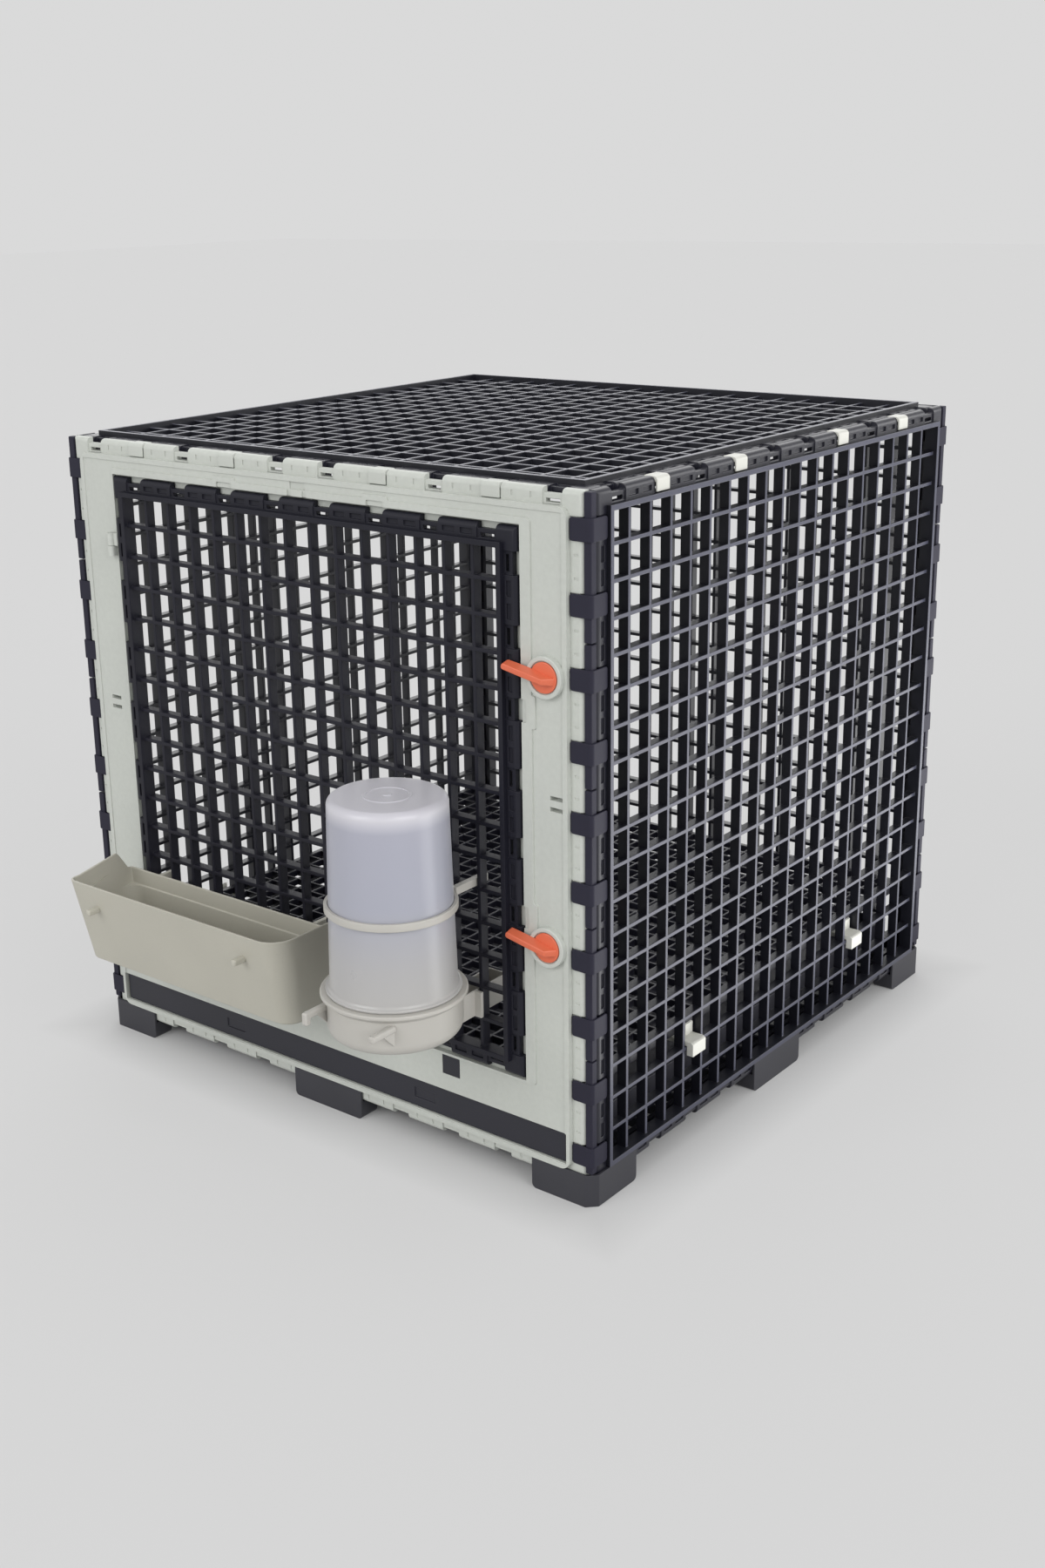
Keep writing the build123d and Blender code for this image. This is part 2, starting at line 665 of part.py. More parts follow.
# Floor grid
with BuildPart() as floor_grid:
    floor_size = PANEL - 2 * FLOOR_PLAY
    floor_clear = floor_size - 2 * FLOOR_BORDER
    floor_cells = int(floor_clear // FLOOR_CELL)
    bed = Plane(origin=(0, MID_Y, FLOOR_Z), x_dir=(1, 0, 0), z_dir=(0, 0, 1))
    with BuildSketch(bed):
        Rectangle(floor_size, floor_size)
        Rectangle(floor_clear, floor_clear, mode=Mode.SUBTRACT)
    extrude(amount=2 * FLOOR_LAYER + LAYER_GAP)
    with BuildSketch(bed):
        with GridLocations(FLOOR_CELL, FLOOR_CELL, floor_cells, 1):
            Rectangle(FLOOR_RIB, floor_clear - 2 * LAYER_GAP)
    extrude(amount=FLOOR_LAYER)
    with BuildSketch(bed.offset(FLOOR_LAYER + LAYER_GAP)):
        with GridLocations(FLOOR_CELL, FLOOR_CELL, 1, floor_cells):
            Rectangle(floor_clear - 2 * LAYER_GAP, FLOOR_RIB)
    extrude(amount=FLOOR_LAYER)
save(floor_grid, "floor_grid")

# Holders of the floor
with BuildPart() as right_floor_clips:
    floor_holder((1, 0, 0), -HOLDER_COLUMN * CELL)
    floor_holder((1, 0, 0), HOLDER_COLUMN * CELL)
save(right_floor_clips, "right_floor_clips")

with BuildPart() as left_floor_clips:
    floor_holder((-1, 0, 0), -HOLDER_COLUMN * CELL)
    floor_holder((-1, 0, 0), HOLDER_COLUMN * CELL)
save(left_floor_clips, "left_floor_clips")

with BuildPart() as back_floor_clips:
    floor_holder((0, 1, 0), -HOLDER_COLUMN * CELL)
    floor_holder((0, 1, 0), HOLDER_COLUMN * CELL)
save(back_floor_clips, "back_floor_clips")

with BuildPart() as front_floor_lugs:
    with BuildSketch(FRONT.offset(-HOLDER_IN)):
        with Locations((LUG_X, lug_v), (-LUG_X, lug_v)):
            Rectangle(LUG_WIDTH, LUG_HEIGHT)
    extrude(amount=HOLDER_IN + FIELD_FACE)
save(front_floor_lugs, "front_floor_lugs")

# Drawer and its runners
with BuildPart() as drawer:
    tray_width = SLOT_WIDTH - 2 * TRAY_PLAY - SLOT_SIDE
    tray_front = HALF + FIELD_FACE - TRAY_RECESS
    tray_back = HALF - RIM_INSET - RIM_WIDTH
    tray_middle = MID_Y + (tray_back - tray_front) / 2
    with BuildSketch(Plane.XY.offset(TRAY_Z)):
        with Locations((0, tray_middle)):
            Rectangle(tray_width, tray_front + tray_back)
    extrude(amount=SLOT_HEIGHT - 2 * TRAY_PLAY)
    with BuildSketch(Plane.XY.offset(TRAY_Z + TRAY_WALL)):
        with Locations((0, tray_middle)):
            Rectangle(tray_width - 2 * TRAY_WALL, tray_front + tray_back - 2 * TRAY_WALL)
    extrude(amount=SLOT_HEIGHT, mode=Mode.SUBTRACT)
    with BuildSketch(FRONT.offset(FIELD_FACE - TRAY_RECESS)):
        with Locations((GRIP_X, slot_v), (-GRIP_X, slot_v)):
            Rectangle(GRIP_WIDTH, GRIP_HEIGHT)
    extrude(amount=-TRAY_WALL / 2, mode=Mode.SUBTRACT)
save(drawer, "drawer")

with BuildPart() as right_runner:
    runner_x = tray_width / 2 - RUNNER_WIDTH
    runner_low = MID_Z - HALF + 2 * LAYER + LAYER_GAP + FIT
    with BuildSketch(Plane.XY.offset(runner_low)):
        with Locations((runner_x, MID_Y)):
            Rectangle(RUNNER_WIDTH, 2 * tray_back - RUNNER_WIDTH)
    extrude(amount=TRAY_Z - FIT - runner_low)
save(right_runner, "right_runner")

with BuildPart() as left_runner:
    with BuildSketch(Plane.XY.offset(runner_low)):
        with Locations((-runner_x, MID_Y)):
            Rectangle(RUNNER_WIDTH, 2 * tray_back - RUNNER_WIDTH)
    extrude(amount=TRAY_Z - FIT - runner_low)
save(left_runner, "left_runner")

# Feeder
bar_top = DOOR_Z - FEEDER_ROW * CELL + RIB / 2
feeder_x = -FEEDER_COLUMN * CELL
feeder_y = MID_Y - OUTER - FEEDER_OFF
trough_x = feeder_x - FEEDER_SHIFT
feeder_left = trough_x - FEEDER_LENGTH / 2
feeder_rim = bar_top + FEEDER_OVER

with BuildPart() as feeder:
    base_depth = FEEDER_DEPTH - FEEDER_SLOPE
    base_length = FEEDER_LENGTH - 2 * FEEDER_TAPER
    with BuildSketch(Plane((trough_x, feeder_y, bar_top - FEEDER_UNDER))):
        trough_outline(base_length, base_depth, FEEDER_BASE_R)
    with BuildSketch(Plane((trough_x, feeder_y, feeder_rim))):
        trough_outline(FEEDER_LENGTH, FEEDER_DEPTH, FEEDER_R)
    loft(ruled=True)
    offset(amount=-FEEDER_WALL, openings=faces().sort_by(Axis.Z)[-1])
    low_wall = FEEDER_LENGTH - LOW_WALL_END
    with BuildSketch(Plane.XY.offset(bar_top + FEEDER_BACK)):
        with Locations((feeder_left + low_wall / 2, feeder_y)):
            Rectangle(low_wall, 2 * EAR_FOOT)
    extrude(amount=FEEDER_OVER, mode=Mode.SUBTRACT)
    ear_side = Plane(origin=(feeder_left, feeder_y, feeder_rim), x_dir=(0, 1, 0), z_dir=(1, 0, 0))
    with BuildSketch(ear_side):
        Polygon(
            (-EAR_LENGTH, 0),
            (-EAR_TOP, EAR),
            (-EAR_FOOT, FEEDER_BACK - FEEDER_OVER),
            (-EAR_LENGTH, FEEDER_BACK - FEEDER_OVER),
            align=None,
        )
    extrude(amount=FEEDER_WALL)
    with BuildSketch(ear_side):
        Polygon((-EAR_TOP, EAR), (0, EAR), (0, 0), (-EAR_FOOT, FEEDER_BACK - FEEDER_OVER), align=None)
    extrude(amount=FEEDER_WALL, mode=Mode.SUBTRACT)
    hook_end = feeder_y + FEEDER_OFF + HOOK_REACH
    hook_side = HOOK_COLUMN * CELL
    with BuildSketch(Plane.XY.offset(bar_top + REST)):
        with Locations((feeder_x, (feeder_y - FEEDER_WALL / 2 + hook_end) / 2)):
            with GridLocations(2 * hook_side, HOOK_WIDTH, 2, 1):
                Rectangle(HOOK_WIDTH, hook_end - feeder_y + FEEDER_WALL / 2)
    extrude(amount=HOOK)
    with BuildSketch(Plane.XY.offset(bar_top - HOOK_DOWN)):
        with Locations((feeder_x, hook_end - HOOK_CLAW / 2)):
            with GridLocations(2 * hook_side, HOOK_WIDTH, 2, 1):
                Rectangle(HOOK_WIDTH, HOOK_CLAW)
    extrude(amount=HOOK_DOWN + HOOK)
    front_wall = feeder_y - FEEDER_DEPTH + FEEDER_SLOPE * FEEDER_OVER / (FEEDER_OVER + FEEDER_UNDER)
    pegs = Plane(
        origin=(trough_x, front_wall + FEEDER_WALL / 2, bar_top), x_dir=(1, 0, 0), z_dir=(0, -1, 0)
    )
    with BuildSketch(pegs):
        with Locations(*[(place, 0) for place in PEG_PLACES]):
            Rectangle(PEG, PEG)
    extrude(amount=FEEDER_PEG)
save(feeder, "feeder")

# Drinker
spout_x = SPOUT_COLUMN * CELL
spout_low = DOOR_Z - SPOUT_ROW * CELL + RIB / 2 + REST
drinker_x = spout_x - DRINKER_SIDE
drinker_y = MID_Y - OUTER - DRINKER_OFF
dish_low = spout_low + SPOUT_HEIGHT / 4
dish_top = dish_low + DISH_HEIGHT
axis_plane = Plane(origin=(drinker_x, drinker_y, 0), x_dir=(1, 0, 0), z_dir=(0, -1, 0))

with BuildPart() as drinker_dish:
    inner_base = DISH_BASE_R - DISH_WALL
    inner_top = DISH_R - DISH_WALL
    with BuildSketch(axis_plane):
        Polygon(
            (0, dish_low),
            (DISH_BASE_R, dish_low),
            (DISH_R, dish_low + DISH_HEIGHT / 2),
            (DISH_R, dish_top - 2 * DISH_LIP),
            (DISH_LIP_R, dish_top - DISH_LIP),
            (DISH_LIP_R, dish_top),
            (inner_top, dish_top),
            (inner_top, dish_low + DISH_HEIGHT / 2),
            (inner_base, dish_low + DISH_WALL),
            (0, dish_low + DISH_WALL),
            align=None,
        )
    revolve(axis=Axis((drinker_x, drinker_y, 0), (0, 0, 1)))
    spout_side = DRINKER_SIDE + SPOUT_WIDTH / 2
    spout_front = drinker_y + math.sqrt((DISH_R - DISH_WALL) ** 2 - spout_side**2)
    spout_back = MID_Y - OUTER + SPOUT_IN
    with BuildSketch(Plane.XY.offset(spout_low)):
        with Locations((spout_x, (spout_front + spout_back) / 2)):
            Rectangle(SPOUT_WIDTH, spout_back - spout_front)
    extrude(amount=SPOUT_HEIGHT)
    collar_y = MID_Y - HALF - DOOR_FACE - FLANGE - SPOUT_COLLAR / 2 - 2 * FIT
    with BuildSketch(Plane.XY.offset(spout_low)):
        with Locations((spout_x, collar_y)):
            Rectangle(SPOUT_WIDTH + 4 * SPOUT_COLLAR, SPOUT_COLLAR)
    extrude(amount=SPOUT_HEIGHT)
    with BuildSketch(Plane.XY.offset(spout_low + SPOUT_HEIGHT / 4 + DISH_WALL)):
        with Locations((spout_x, (spout_front + spout_back) / 2 - 2 * SPOUT_WALL)):
            Rectangle(SPOUT_WIDTH - 2 * SPOUT_WALL, spout_back - spout_front + 2 * SPOUT_WALL)
    extrude(amount=SPOUT_HEIGHT, mode=Mode.SUBTRACT)
    peg_start = math.sqrt((DISH_R - DISH_WALL / 2) ** 2 - DISH_PEG_SIDE**2)
    with BuildSketch(Plane.XY.offset(dish_low + DISH_PEG_UP - PEG / 2)):
        with Locations((drinker_x, drinker_y - (peg_start + DISH_PEG_REACH) / 2)):
            with GridLocations(2 * DISH_PEG_SIDE, PEG, 2, 1):
                Rectangle(PEG, DISH_PEG_REACH - peg_start)
    extrude(amount=PEG)
    for side in (-DISH_PEG_SIDE, DISH_PEG_SIDE):
        fin = Plane(
            origin=(drinker_x + side, drinker_y - peg_start, dish_low + DISH_PEG_UP),
            x_dir=(0, -1, 0),
            z_dir=(-1, 0, 0),
        )
        with BuildSketch(fin):
            Polygon((0, 0), (0, -DISH_FIN), (DISH_FIN, 0), align=None)
        extrude(amount=DISH_WALL / 2, both=True)
save(drinker_dish, "drinker_dish")

with BuildPart() as drinker_bottle:
    seat = dish_top + BOTTLE_PLAY
    shoulder = seat + BOTTLE_FLANGE
    crown = shoulder + BOTTLE_HEIGHT
    with BuildSketch(axis_plane):
        Polygon(
            (BOTTLE_R, seat - BOTTLE_SKIRT),
            (BOTTLE_R, seat),
            (BOTTLE_FLANGE_R, seat),
            (BOTTLE_FLANGE_R, shoulder),
            (BOTTLE_R, shoulder + BOTTLE_WALL),
            (BOTTLE_TOP_R, crown - BOTTLE_EDGE),
            (BOTTLE_TOP_R - BOTTLE_EDGE, crown),
            (0, crown),
            (0, crown - BOTTLE_WALL),
            (BOTTLE_TOP_R - BOTTLE_EDGE, crown - BOTTLE_WALL),
            (BOTTLE_R - BOTTLE_WALL, shoulder),
            (BOTTLE_R - BOTTLE_WALL, seat - BOTTLE_SKIRT),
            align=None,
        )
    revolve(axis=Axis((drinker_x, drinker_y, 0), (0, 0, 1)))
save(drinker_bottle, "drinker_bottle")

with BuildPart() as drinker_ring:
    peg_low = DOOR_Z - PEG_ROW * CELL + RIB / 2 + REST
    ring_low = peg_low - RING_DROP
    share = (ring_low - shoulder) / BOTTLE_HEIGHT
    ring_r = BOTTLE_R - (BOTTLE_R - BOTTLE_TOP_R) * share + RING_PLAY
    with BuildSketch(Plane.XY.offset(ring_low)):
        with Locations((drinker_x, drinker_y)):
            Circle(ring_r + RING)
            Circle(ring_r, mode=Mode.SUBTRACT)
    extrude(amount=RING_HEIGHT)
    peg_front = drinker_y + math.sqrt((ring_r + RING / 2) ** 2 - (PEG_SIDE - PEG / 2) ** 2)
    peg_back = MID_Y - OUTER + PEG_IN
    with BuildSketch(Plane.XY.offset(peg_low)):
        with Locations(
            (drinker_x - PEG_SIDE, (peg_front + peg_back) / 2),
            (drinker_x + PEG_SIDE, (peg_front + peg_back) / 2),
        ):
            Rectangle(PEG, peg_back - peg_front)
    extrude(amount=PEG_HEIGHT)
save(drinker_ring, "drinker_ring")
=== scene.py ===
"""Looks of the plastic animal cage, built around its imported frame.

Metres. X runs to the right, Y to the back and Z up, as in the frame.
"""

import json
import math

import bmesh
import bpy
import numpy as np
from mathutils import Matrix, Vector


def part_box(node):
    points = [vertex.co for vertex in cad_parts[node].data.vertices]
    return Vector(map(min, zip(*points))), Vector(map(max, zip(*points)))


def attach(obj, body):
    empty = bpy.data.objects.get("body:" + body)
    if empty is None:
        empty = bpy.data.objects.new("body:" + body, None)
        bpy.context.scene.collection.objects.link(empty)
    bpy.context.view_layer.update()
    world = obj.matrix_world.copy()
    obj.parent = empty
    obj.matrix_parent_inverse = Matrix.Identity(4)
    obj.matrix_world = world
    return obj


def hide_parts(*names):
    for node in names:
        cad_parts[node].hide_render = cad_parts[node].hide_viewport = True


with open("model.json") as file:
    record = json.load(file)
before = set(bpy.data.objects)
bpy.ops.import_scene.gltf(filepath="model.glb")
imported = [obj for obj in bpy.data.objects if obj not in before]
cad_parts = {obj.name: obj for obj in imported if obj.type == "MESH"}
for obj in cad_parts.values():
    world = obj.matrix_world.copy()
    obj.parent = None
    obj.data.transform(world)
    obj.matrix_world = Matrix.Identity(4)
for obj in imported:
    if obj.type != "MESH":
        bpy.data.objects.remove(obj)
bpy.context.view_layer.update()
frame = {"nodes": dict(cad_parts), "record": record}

# Roundings and tolerances
NEAR = 1e-5  # places closer than this are the same
FIT = 0.0001  # between pieces that seat in each other
OVERLAP = 0.001  # of solids that grow together
GRID_EASE = 0.0005
PLATE_EASE = 0.0004
CLIP_EASE = 0.0006
FLAT_ANGLE = math.radians(1)
SHARP_ANGLE = 0.6  # radians
SMOOTH_ANGLE = math.radians(40)
ROUND_STEPS = 6
EDGE_STEPS = 4

# Grid walls
CELL = 0.025  # mesh pitch
CELLS = 19
DOOR_CELLS = 15
RIB = 0.003
RIB_BACK = -0.002  # from the inside of the toothed edge
FLANGE = 0.006  # thickness of the toothed edge
RIM = 0.0035  # height of the rim above it
RIM_INSET = 0.011
RIM_WIDTH = 0.004
SEAT = 2 * CELL
NOTCH_WIDTH = 0.016
NOTCH_DEPTH = 0.004
SADDLE = 0.0012  # the clip seat lies this much below the toothed edge
SLOT_LENGTH = 0.0115  # slot in each clip seat
SLOT_INSET = 0.0072
SLOT_WIDTH = 0.0026
TOOTH_R = 0.004  # outer edge of the teeth
POCKET = (0.0105, 0.0052, 0.0036, 0.0014)  # in each tooth: length, inset, width and depth
DASH = (0.0016, 0.0042, 0.0036, 0.0006)  # the same on the front panel
POCKET_PLACE = 0.0078

# Door, front panel and latches
DOOR_FACE = 0.0063
DOOR_PLAY = 0.0015
LIP = 0.008
PIN_R = 0.0016
KNUCKLE_R = 0.003
KNUCKLE = 0.010
KNUCKLE_ARM = 0.007
FIELD_R = 0.008
BEAD = 0.004
BEAD_H = 0.0008
TOP_RIM = 0.005
SIDE_RIM = 0.0085
BOTTOM_RIM = 0.002
RIM_RISE = 0.0014
RIM_R = 0.0035
BUMP_PLACE = 0.075  # bumps in the rim, from the middle of the door
BUMP = 0.023
BUMP_OUT = 0.003
BUMP_R = 0.0012
BUMP_POCKET = 0.016
POCKET_DEPTH = 0.004
CATCH = 0.0095  # half of the catch at the middle of the top rim
CATCH_GAP = 0.004
CATCH_RISE = 0.007  # recess above it
CATCH_DEPTH = 0.001
SLOT_LOW = 0.0155
SLOT_END = 0.003  # from the edge of the raised field
SLOT_HEIGHT = 0.024
MARK_RIGHT = 0.2295
MARK_LEFT = -0.218
MARK_HALF = 0.0055
MARK_HEIGHT = 0.003
MARK_RISE = 0.013
MARK_PITCH = 0.008
LUG_X = 0.130
LUG_HALF = 0.00825
BOSS_R = 0.0148
BOSS_HEIGHT = 0.003
BOSS_RIM = 0.0016
LATCH_EDGE = 0.0008  # rounding of ring and disc
KNOB_R = 0.013  # disc of the latch in the frame
DISC_R = 0.0109  # disc inside the white ring
KNOB_PLAY = 0.0006
KNOB_HEIGHT = 0.0011
LATCH_HEIGHT = 0.009
LEVER = 0.0312
LEVER_BACK = 0.0096
LEVER_CREST = 0.0042  # width of its front face
LEVER_SLOPE = 0.0055  # its heel slants down to the disc over this length
LEVER_HEEL = 0.0056  # widths at the disc: at the heel, at the edge of the disc and at the tip
LEVER_ROOT = 0.0074
LEVER_TIP = 0.0062
LEVER_NOSE = 0.0015  # cut corners of the tip
LEVER_LEAN = 0.0012  # front face short of the tip
LEVER_SINK = 0.0004  # into the disc
LEVER_EASE = 0.0008
LEVER_TILT = 11
SHAFT_R = 0.005

# Clips, connectors and feet
CLIP_WIDTH = 0.0156
CLIP_PLATE = 0.0015
CLIP_REACH = 0.0105
CLIP_R = 0.003
WING_R = 0.003
WING_CORNER = 0.0022
CLIP_PLACES = (-3.5, -1.5, 1.5, 3.5)
CONNECTORS = 5  # on each upright edge, with two wings each
STRIP_GAP = 0.001
STRIP_EASE = 0.0008
FOOT_WALL = 0.0024
FOOT_LIP = 0.0105
FOOT_INNER = 0.010
CORNER_LEG = 0.055
MIDDLE_FOOT = 0.072
FOOT_BEVEL = 0.0072  # slanting corner
FOOT_END_R = 0.0040

# Floor and drawer
FLOOR_BORDER = 0.005
FLOOR_BARS = 28
FLOOR_CELL = 0.0165
FLOOR_RIB = 0.002
HOLDER_PLACE = 0.125
HOLDER_HALF = 0.009
HOLDER_OUT = 0.012
HOLDER_IN = 0.014
HOLDER_DROP = 0.0125  # below the bar, in the frame
HOLDER_PLATE = 0.006  # outer plate below the bar
HOLDER_TOP = 0.0055
HOLDER_CUT = (0.0025, 0.0015)  # slanting top edge
HOLDER_EASE = 0.0007
TONGUE = 0.009
TONGUE_WIDTH = 0.010
TONGUE_THICK = 0.002
TRAY_WALL = 0.002
GRIP_X = 0.102
GRIP_HALF = 0.010
GRIP_HEIGHT = 0.008
GRIP_DEPTH = 0.001

# Feeder
FEEDER_OFF = 0.0125
FEEDER_DEPTH = 0.0675
FEEDER_SHIFT = 0.0005  # hooks right of the middle of the trough
FEEDER_TAPER = 0.004
FEEDER_SLOPE = 0.015
FEEDER_OVER = 0.0205  # rim above the bar that carries the hooks
FEEDER_DROP = 0.0095  # back wall below the rim
FEEDER_R = 0.020
FEEDER_BASE_R = 0.015
FEEDER_LEFT_R = 0.008
FEEDER_BACK_R = 0.003
FEEDER_WALL = 0.002
LOW_WALL_END = 0.012
LEDGE = 0.013  # step inside the trough, below the rim
LEDGE_R = 0.012
LEDGE_IN = 0.0012
LEDGE_FALL = 0.0008
FEEDER_EDGE = 0.0005  # rounding of the rim
FEEDER_FOOT = (0.002, 0.0019)  # rounding of the base: rise and inset
FEEDER_BEND = 0.0008  # rise and inset of its middle
FEEDER_FLOOR = (0.004, 0.005)  # the same of the inner floor
WALL_STEPS = 24
PEG_EASE = 0.0016
PEG_PLACES = (-0.087, 0.0785)
EAR = 0.007  # rise of the left end above the rim
EAR_LENGTH = 0.056
EAR_TOP = 0.016
EAR_FOOT = 0.005
HOOK_SIDE = 3.5 * CELL
HOOK_HALF = 0.002
HOOK = 0.0085
HOOK_CLAW = 0.0035
HOOK_REACH = 0.012
HOOK_DOWN = 0.009
REST = 0.00005  # hooks above the bar

# Drinker
SPOUT_SIDE = 0.0175
SPOUT_DROP = 0.005  # below the base of the dish
SPOUT_START = 0.0375
SPOUT_HALF = 0.009
SPOUT_HEIGHT = 0.020
SPOUT_WALL = 0.0015
SPOUT_FLOOR = 0.007
COLLAR_HALF = 0.015
COLLAR_THICK = 0.003
COLLAR_GAP = 0.0002
PEG = 0.005
PEG_HEIGHT = 0.006
PEG_SIDE = 0.025
RING = 0.0026
RING_HEIGHT = 0.0055
RING_EDGE = (0.0005, 0.0006)
DISH_R = 0.0486
DISH_BASE_R = 0.042
DISH_EDGE = 0.009
DISH_LIP_R = 0.0524
DISH_LIP = 0.003
DISH_WALL = 0.002
LIP_EDGE = 0.0008  # rounding under the lip
LIP_R = 0.0012
DISH_PEG_EASE = 0.0014
DISH_PEG_SIDE = 0.031
DISH_PEG_UP = 0.023
DISH_PEG_REACH = 0.060
DISH_FIN = 0.014
DISH_PEG_DOWN = 0.007  # turned-down end of the left peg
BOTTLE_R = 0.0452
BOTTLE_TOP_R = 0.0421
BOTTLE_SKIRT = 0.010
BOTTLE_WALL = 0.0017
BOTTLE_EDGE = 0.0012  # rounding of the collar
BOTTLE_FOOT = ((0.0466, 0.0028), (BOTTLE_R, 0.0047))  # wall above the collar: radius and height
SHOULDER_R = 0.0055
SHOULDER_DROP = 0.006
CROWN_WALL = 0.0018
CROWN_EDGE = (0.030, 0.0004)  # radius and depth where the crown starts to dip
CROWN_DIP = 0.0006
CROWN_RING = (0.0145, 0.0175)  # raised ring, from radius to radius
CROWN_RING_DIP = 0.0001
CROWN_RING_SLOPE = 0.0004
GATE_R = 0.003  # moulding gate
GATE_SLOPE = 0.0005
BOTTLE_TONES_AND_HIGHLIGHT = (  # share of the height and colour
    (0.0, (0.50, 0.49, 0.47)),
    (0.25, (0.47, 0.465, 0.47)),
    (0.55, (0.42, 0.43, 0.50)),
    (0.90, (0.43, 0.435, 0.51)),
    # painted highlight: a bright band round the shoulder, below a paler crown
    (0.965, (0.68, 0.67, 0.72)),
    (1.0, (0.56, 0.55, 0.60)),
)

# Plastics
CLOUD = (14, 5)  # slow drift of colour and gloss: scale and detail
DRIFT = (0.3, 0.7)  # noise values between which the colour drifts
GLOSS_DRIFT = 0.06
FLOW = (260, 260, 3)  # streaks, long in height
STREAK_DETAIL = 3
FLECK_SCALE = 900
FLECK_SPAN = (0.62, 0.72)
# the painted highlight lightens faces that look squarely out of their panel
OUTER_SPAN = (0.6, 0.95)  # how squarely a face looks out of its panel
GRAIN = (1600, 2)
GRAIN_DEPTH = 0.0002
MILKY = {"Transmission Weight": 0.12, "IOR": 1.5, "Sheen Weight": 0.25, "Sheen Roughness": 0.4}
MIX_COLOURS = (6, 7)  # sockets of a mix node for its two colours
MIX_RESULT = 2

# Places worked out from the frame
low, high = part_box("right_panel")
HALF = (high.z - low.z) / 2
CAGE_Z = (high.z + low.z) / 2
low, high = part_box("bottom_panel")
CAGE_Y = (high.y + low.y) / 2
CENTRE = Vector((0, CAGE_Y, CAGE_Z))
SOLE = CAGE_Z - HALF

# Directions
UP = Vector((0, 0, 1))
RIGHT = Vector((1, 0, 0))
BACK = Vector((0, 1, 0))
SIDES = {"front": -BACK, "right": RIGHT, "back": BACK, "left": -RIGHT}
GRID_SIDES = ("right", "back", "left")
CORNERS = [(depth, side) for depth in ("front", "back") for side in ("right", "left")]

# Camera and light
CAMERA_AT = (0.9339, CAGE_Y - 1.2090, 0.7099)
CAMERA_TURN = (72.538, 1.181, 38.857)
CAMERA_LENS = 42.54
CAMERA_SHIFT = (0.0308, -0.0192)
BACKGROUND = (0.70, 0.70, 0.70, 1)
FLOOR = (0.56, 0.56, 0.56, 1)
FLOOR_SIZE = 30
FLOOR_ROUGH = 0.9
FLOOR_GLOW = 0.75  # share of the floor that the camera sees as plain background
GLOW_FADE = (-0.02, 0.06)  # it starts and is full this far outside the cage
DOME = 0.5
LAMPS = (  # name, direction, strength and angle in degrees
    ("key", (0.85, -0.25, 0.45), 1.3, 40),
    ("front", (-0.20, -0.90, 0.45), 1.2, 40),
    ("top", (-0.20, 0.45, 0.85), 0.75, 50),
    ("side", (0.62, 0.76, 0.10), 1.0, 40),
    ("back", (-0.59, 0.77, 0.27), 0.6, 50),
)
CARD = (0.78, 0.70, 0.02)  # light lying on the floor, right of the cage and behind it
CARD_SIZE = (0.9, 1.6)
CARD_POWER = 11


# Solids, each as its points and faces
def skin(boxes, cuts=()):
    """Closed skin round the boxes, less the cuts."""
    spans = np.round(np.array([*boxes, *cuts], float).reshape(-1, 2, 3), 6)
    lines = [np.unique(spans[:, :, axis]) for axis in range(3)]
    full = np.zeros([len(line) + 1 for line in lines], bool)
    for number, span in enumerate(spans):
        start = [np.searchsorted(lines[axis], span[0, axis]) + 1 for axis in range(3)]
        end = [np.searchsorted(lines[axis], span[1, axis]) + 1 for axis in range(3)]
        full[start[0]:end[0], start[1]:end[1], start[2]:end[2]] = number < len(boxes)
    counts = [len(line) for line in lines]
    quads = []
    for axis in range(3):
        second, third = (axis + 1) % 3, (axis + 2) % 3
        ahead = np.roll(full, -1, axis)
        for facing in (True, False):
            cells = np.argwhere((full != ahead) & (full == facing))
            turns = ((-1, -1), (0, -1), (0, 0), (-1, 0))
            corners = []
            for step, rise in turns if facing else turns[::-1]:
                corner = cells.copy()
                corner[:, second] += step
                corner[:, third] += rise
                corners.append((corner[:, 0] * counts[1] + corner[:, 1]) * counts[2] + corner[:, 2])
            quads.append(np.stack(corners, 1))
    used, faces = np.unique(np.concatenate(quads), return_inverse=True)
    faces = faces.reshape(-1, 4)
    places = np.unravel_index(used, counts)
    points = np.stack([lines[axis][places[axis]] for axis in range(3)], 1)
    return points.tolist(), faces.tolist()


def box(x0, x1, y0, y1, z0, z1):
    """Two corners of a box, for skin()."""
    return (x0, y0, z0), (x1, y1, z1)


def about(middle, half):
    """Two ends of a span."""
    return middle - half, middle + half


def frame_boxes(outer, inner, z0, z1):
    """Four boxes of a square frame."""
    return [
        box(-outer, outer, inner, outer, z0, z1),
        box(-outer, outer, -outer, -inner, z0, z1),
        box(inner, outer, -inner, inner, z0, z1),
        box(-outer, -inner, -inner, inner, z0, z1),
    ]


def lathe(profile, steps=64):
    """A closed profile of (radius, height), anticlockwise, turned about z."""
    rings = []
    points = []
    for radius, height in profile:
        if radius < NEAR:
            rings.append([len(points)] * steps)
            points.append((0, 0, height))
        else:
            rings.append(list(range(len(points), len(points) + steps)))
            points += [(x, y, height) for x, y in arc((0, 0), radius, 0, 360, steps)[:-1]]
    faces = []
    for here, below in enumerate(rings):
        above = rings[(here + 1) % len(rings)]
        for step in range(steps):
            ahead = (step + 1) % steps
            corners = list(dict.fromkeys((below[step], below[ahead], above[ahead], above[step])))
            if len(corners) > 2:
                faces.append(corners)
    return points, faces


def loft(loops):
    """A solid between loops that have as many points each."""
    count = len(loops[0])
    points = [tuple(point) for loop in loops for point in loop]
    faces = []
    for row in range(len(loops) - 1):
        for here in range(count):
            ahead = (here + 1) % count
            start = row * count
            faces.append([start + here, start + ahead, start + count + ahead, start + count + here])
    faces.append(list(range(count))[::-1])
    faces.append(list(range(len(points) - count, len(points))))
    return points, faces


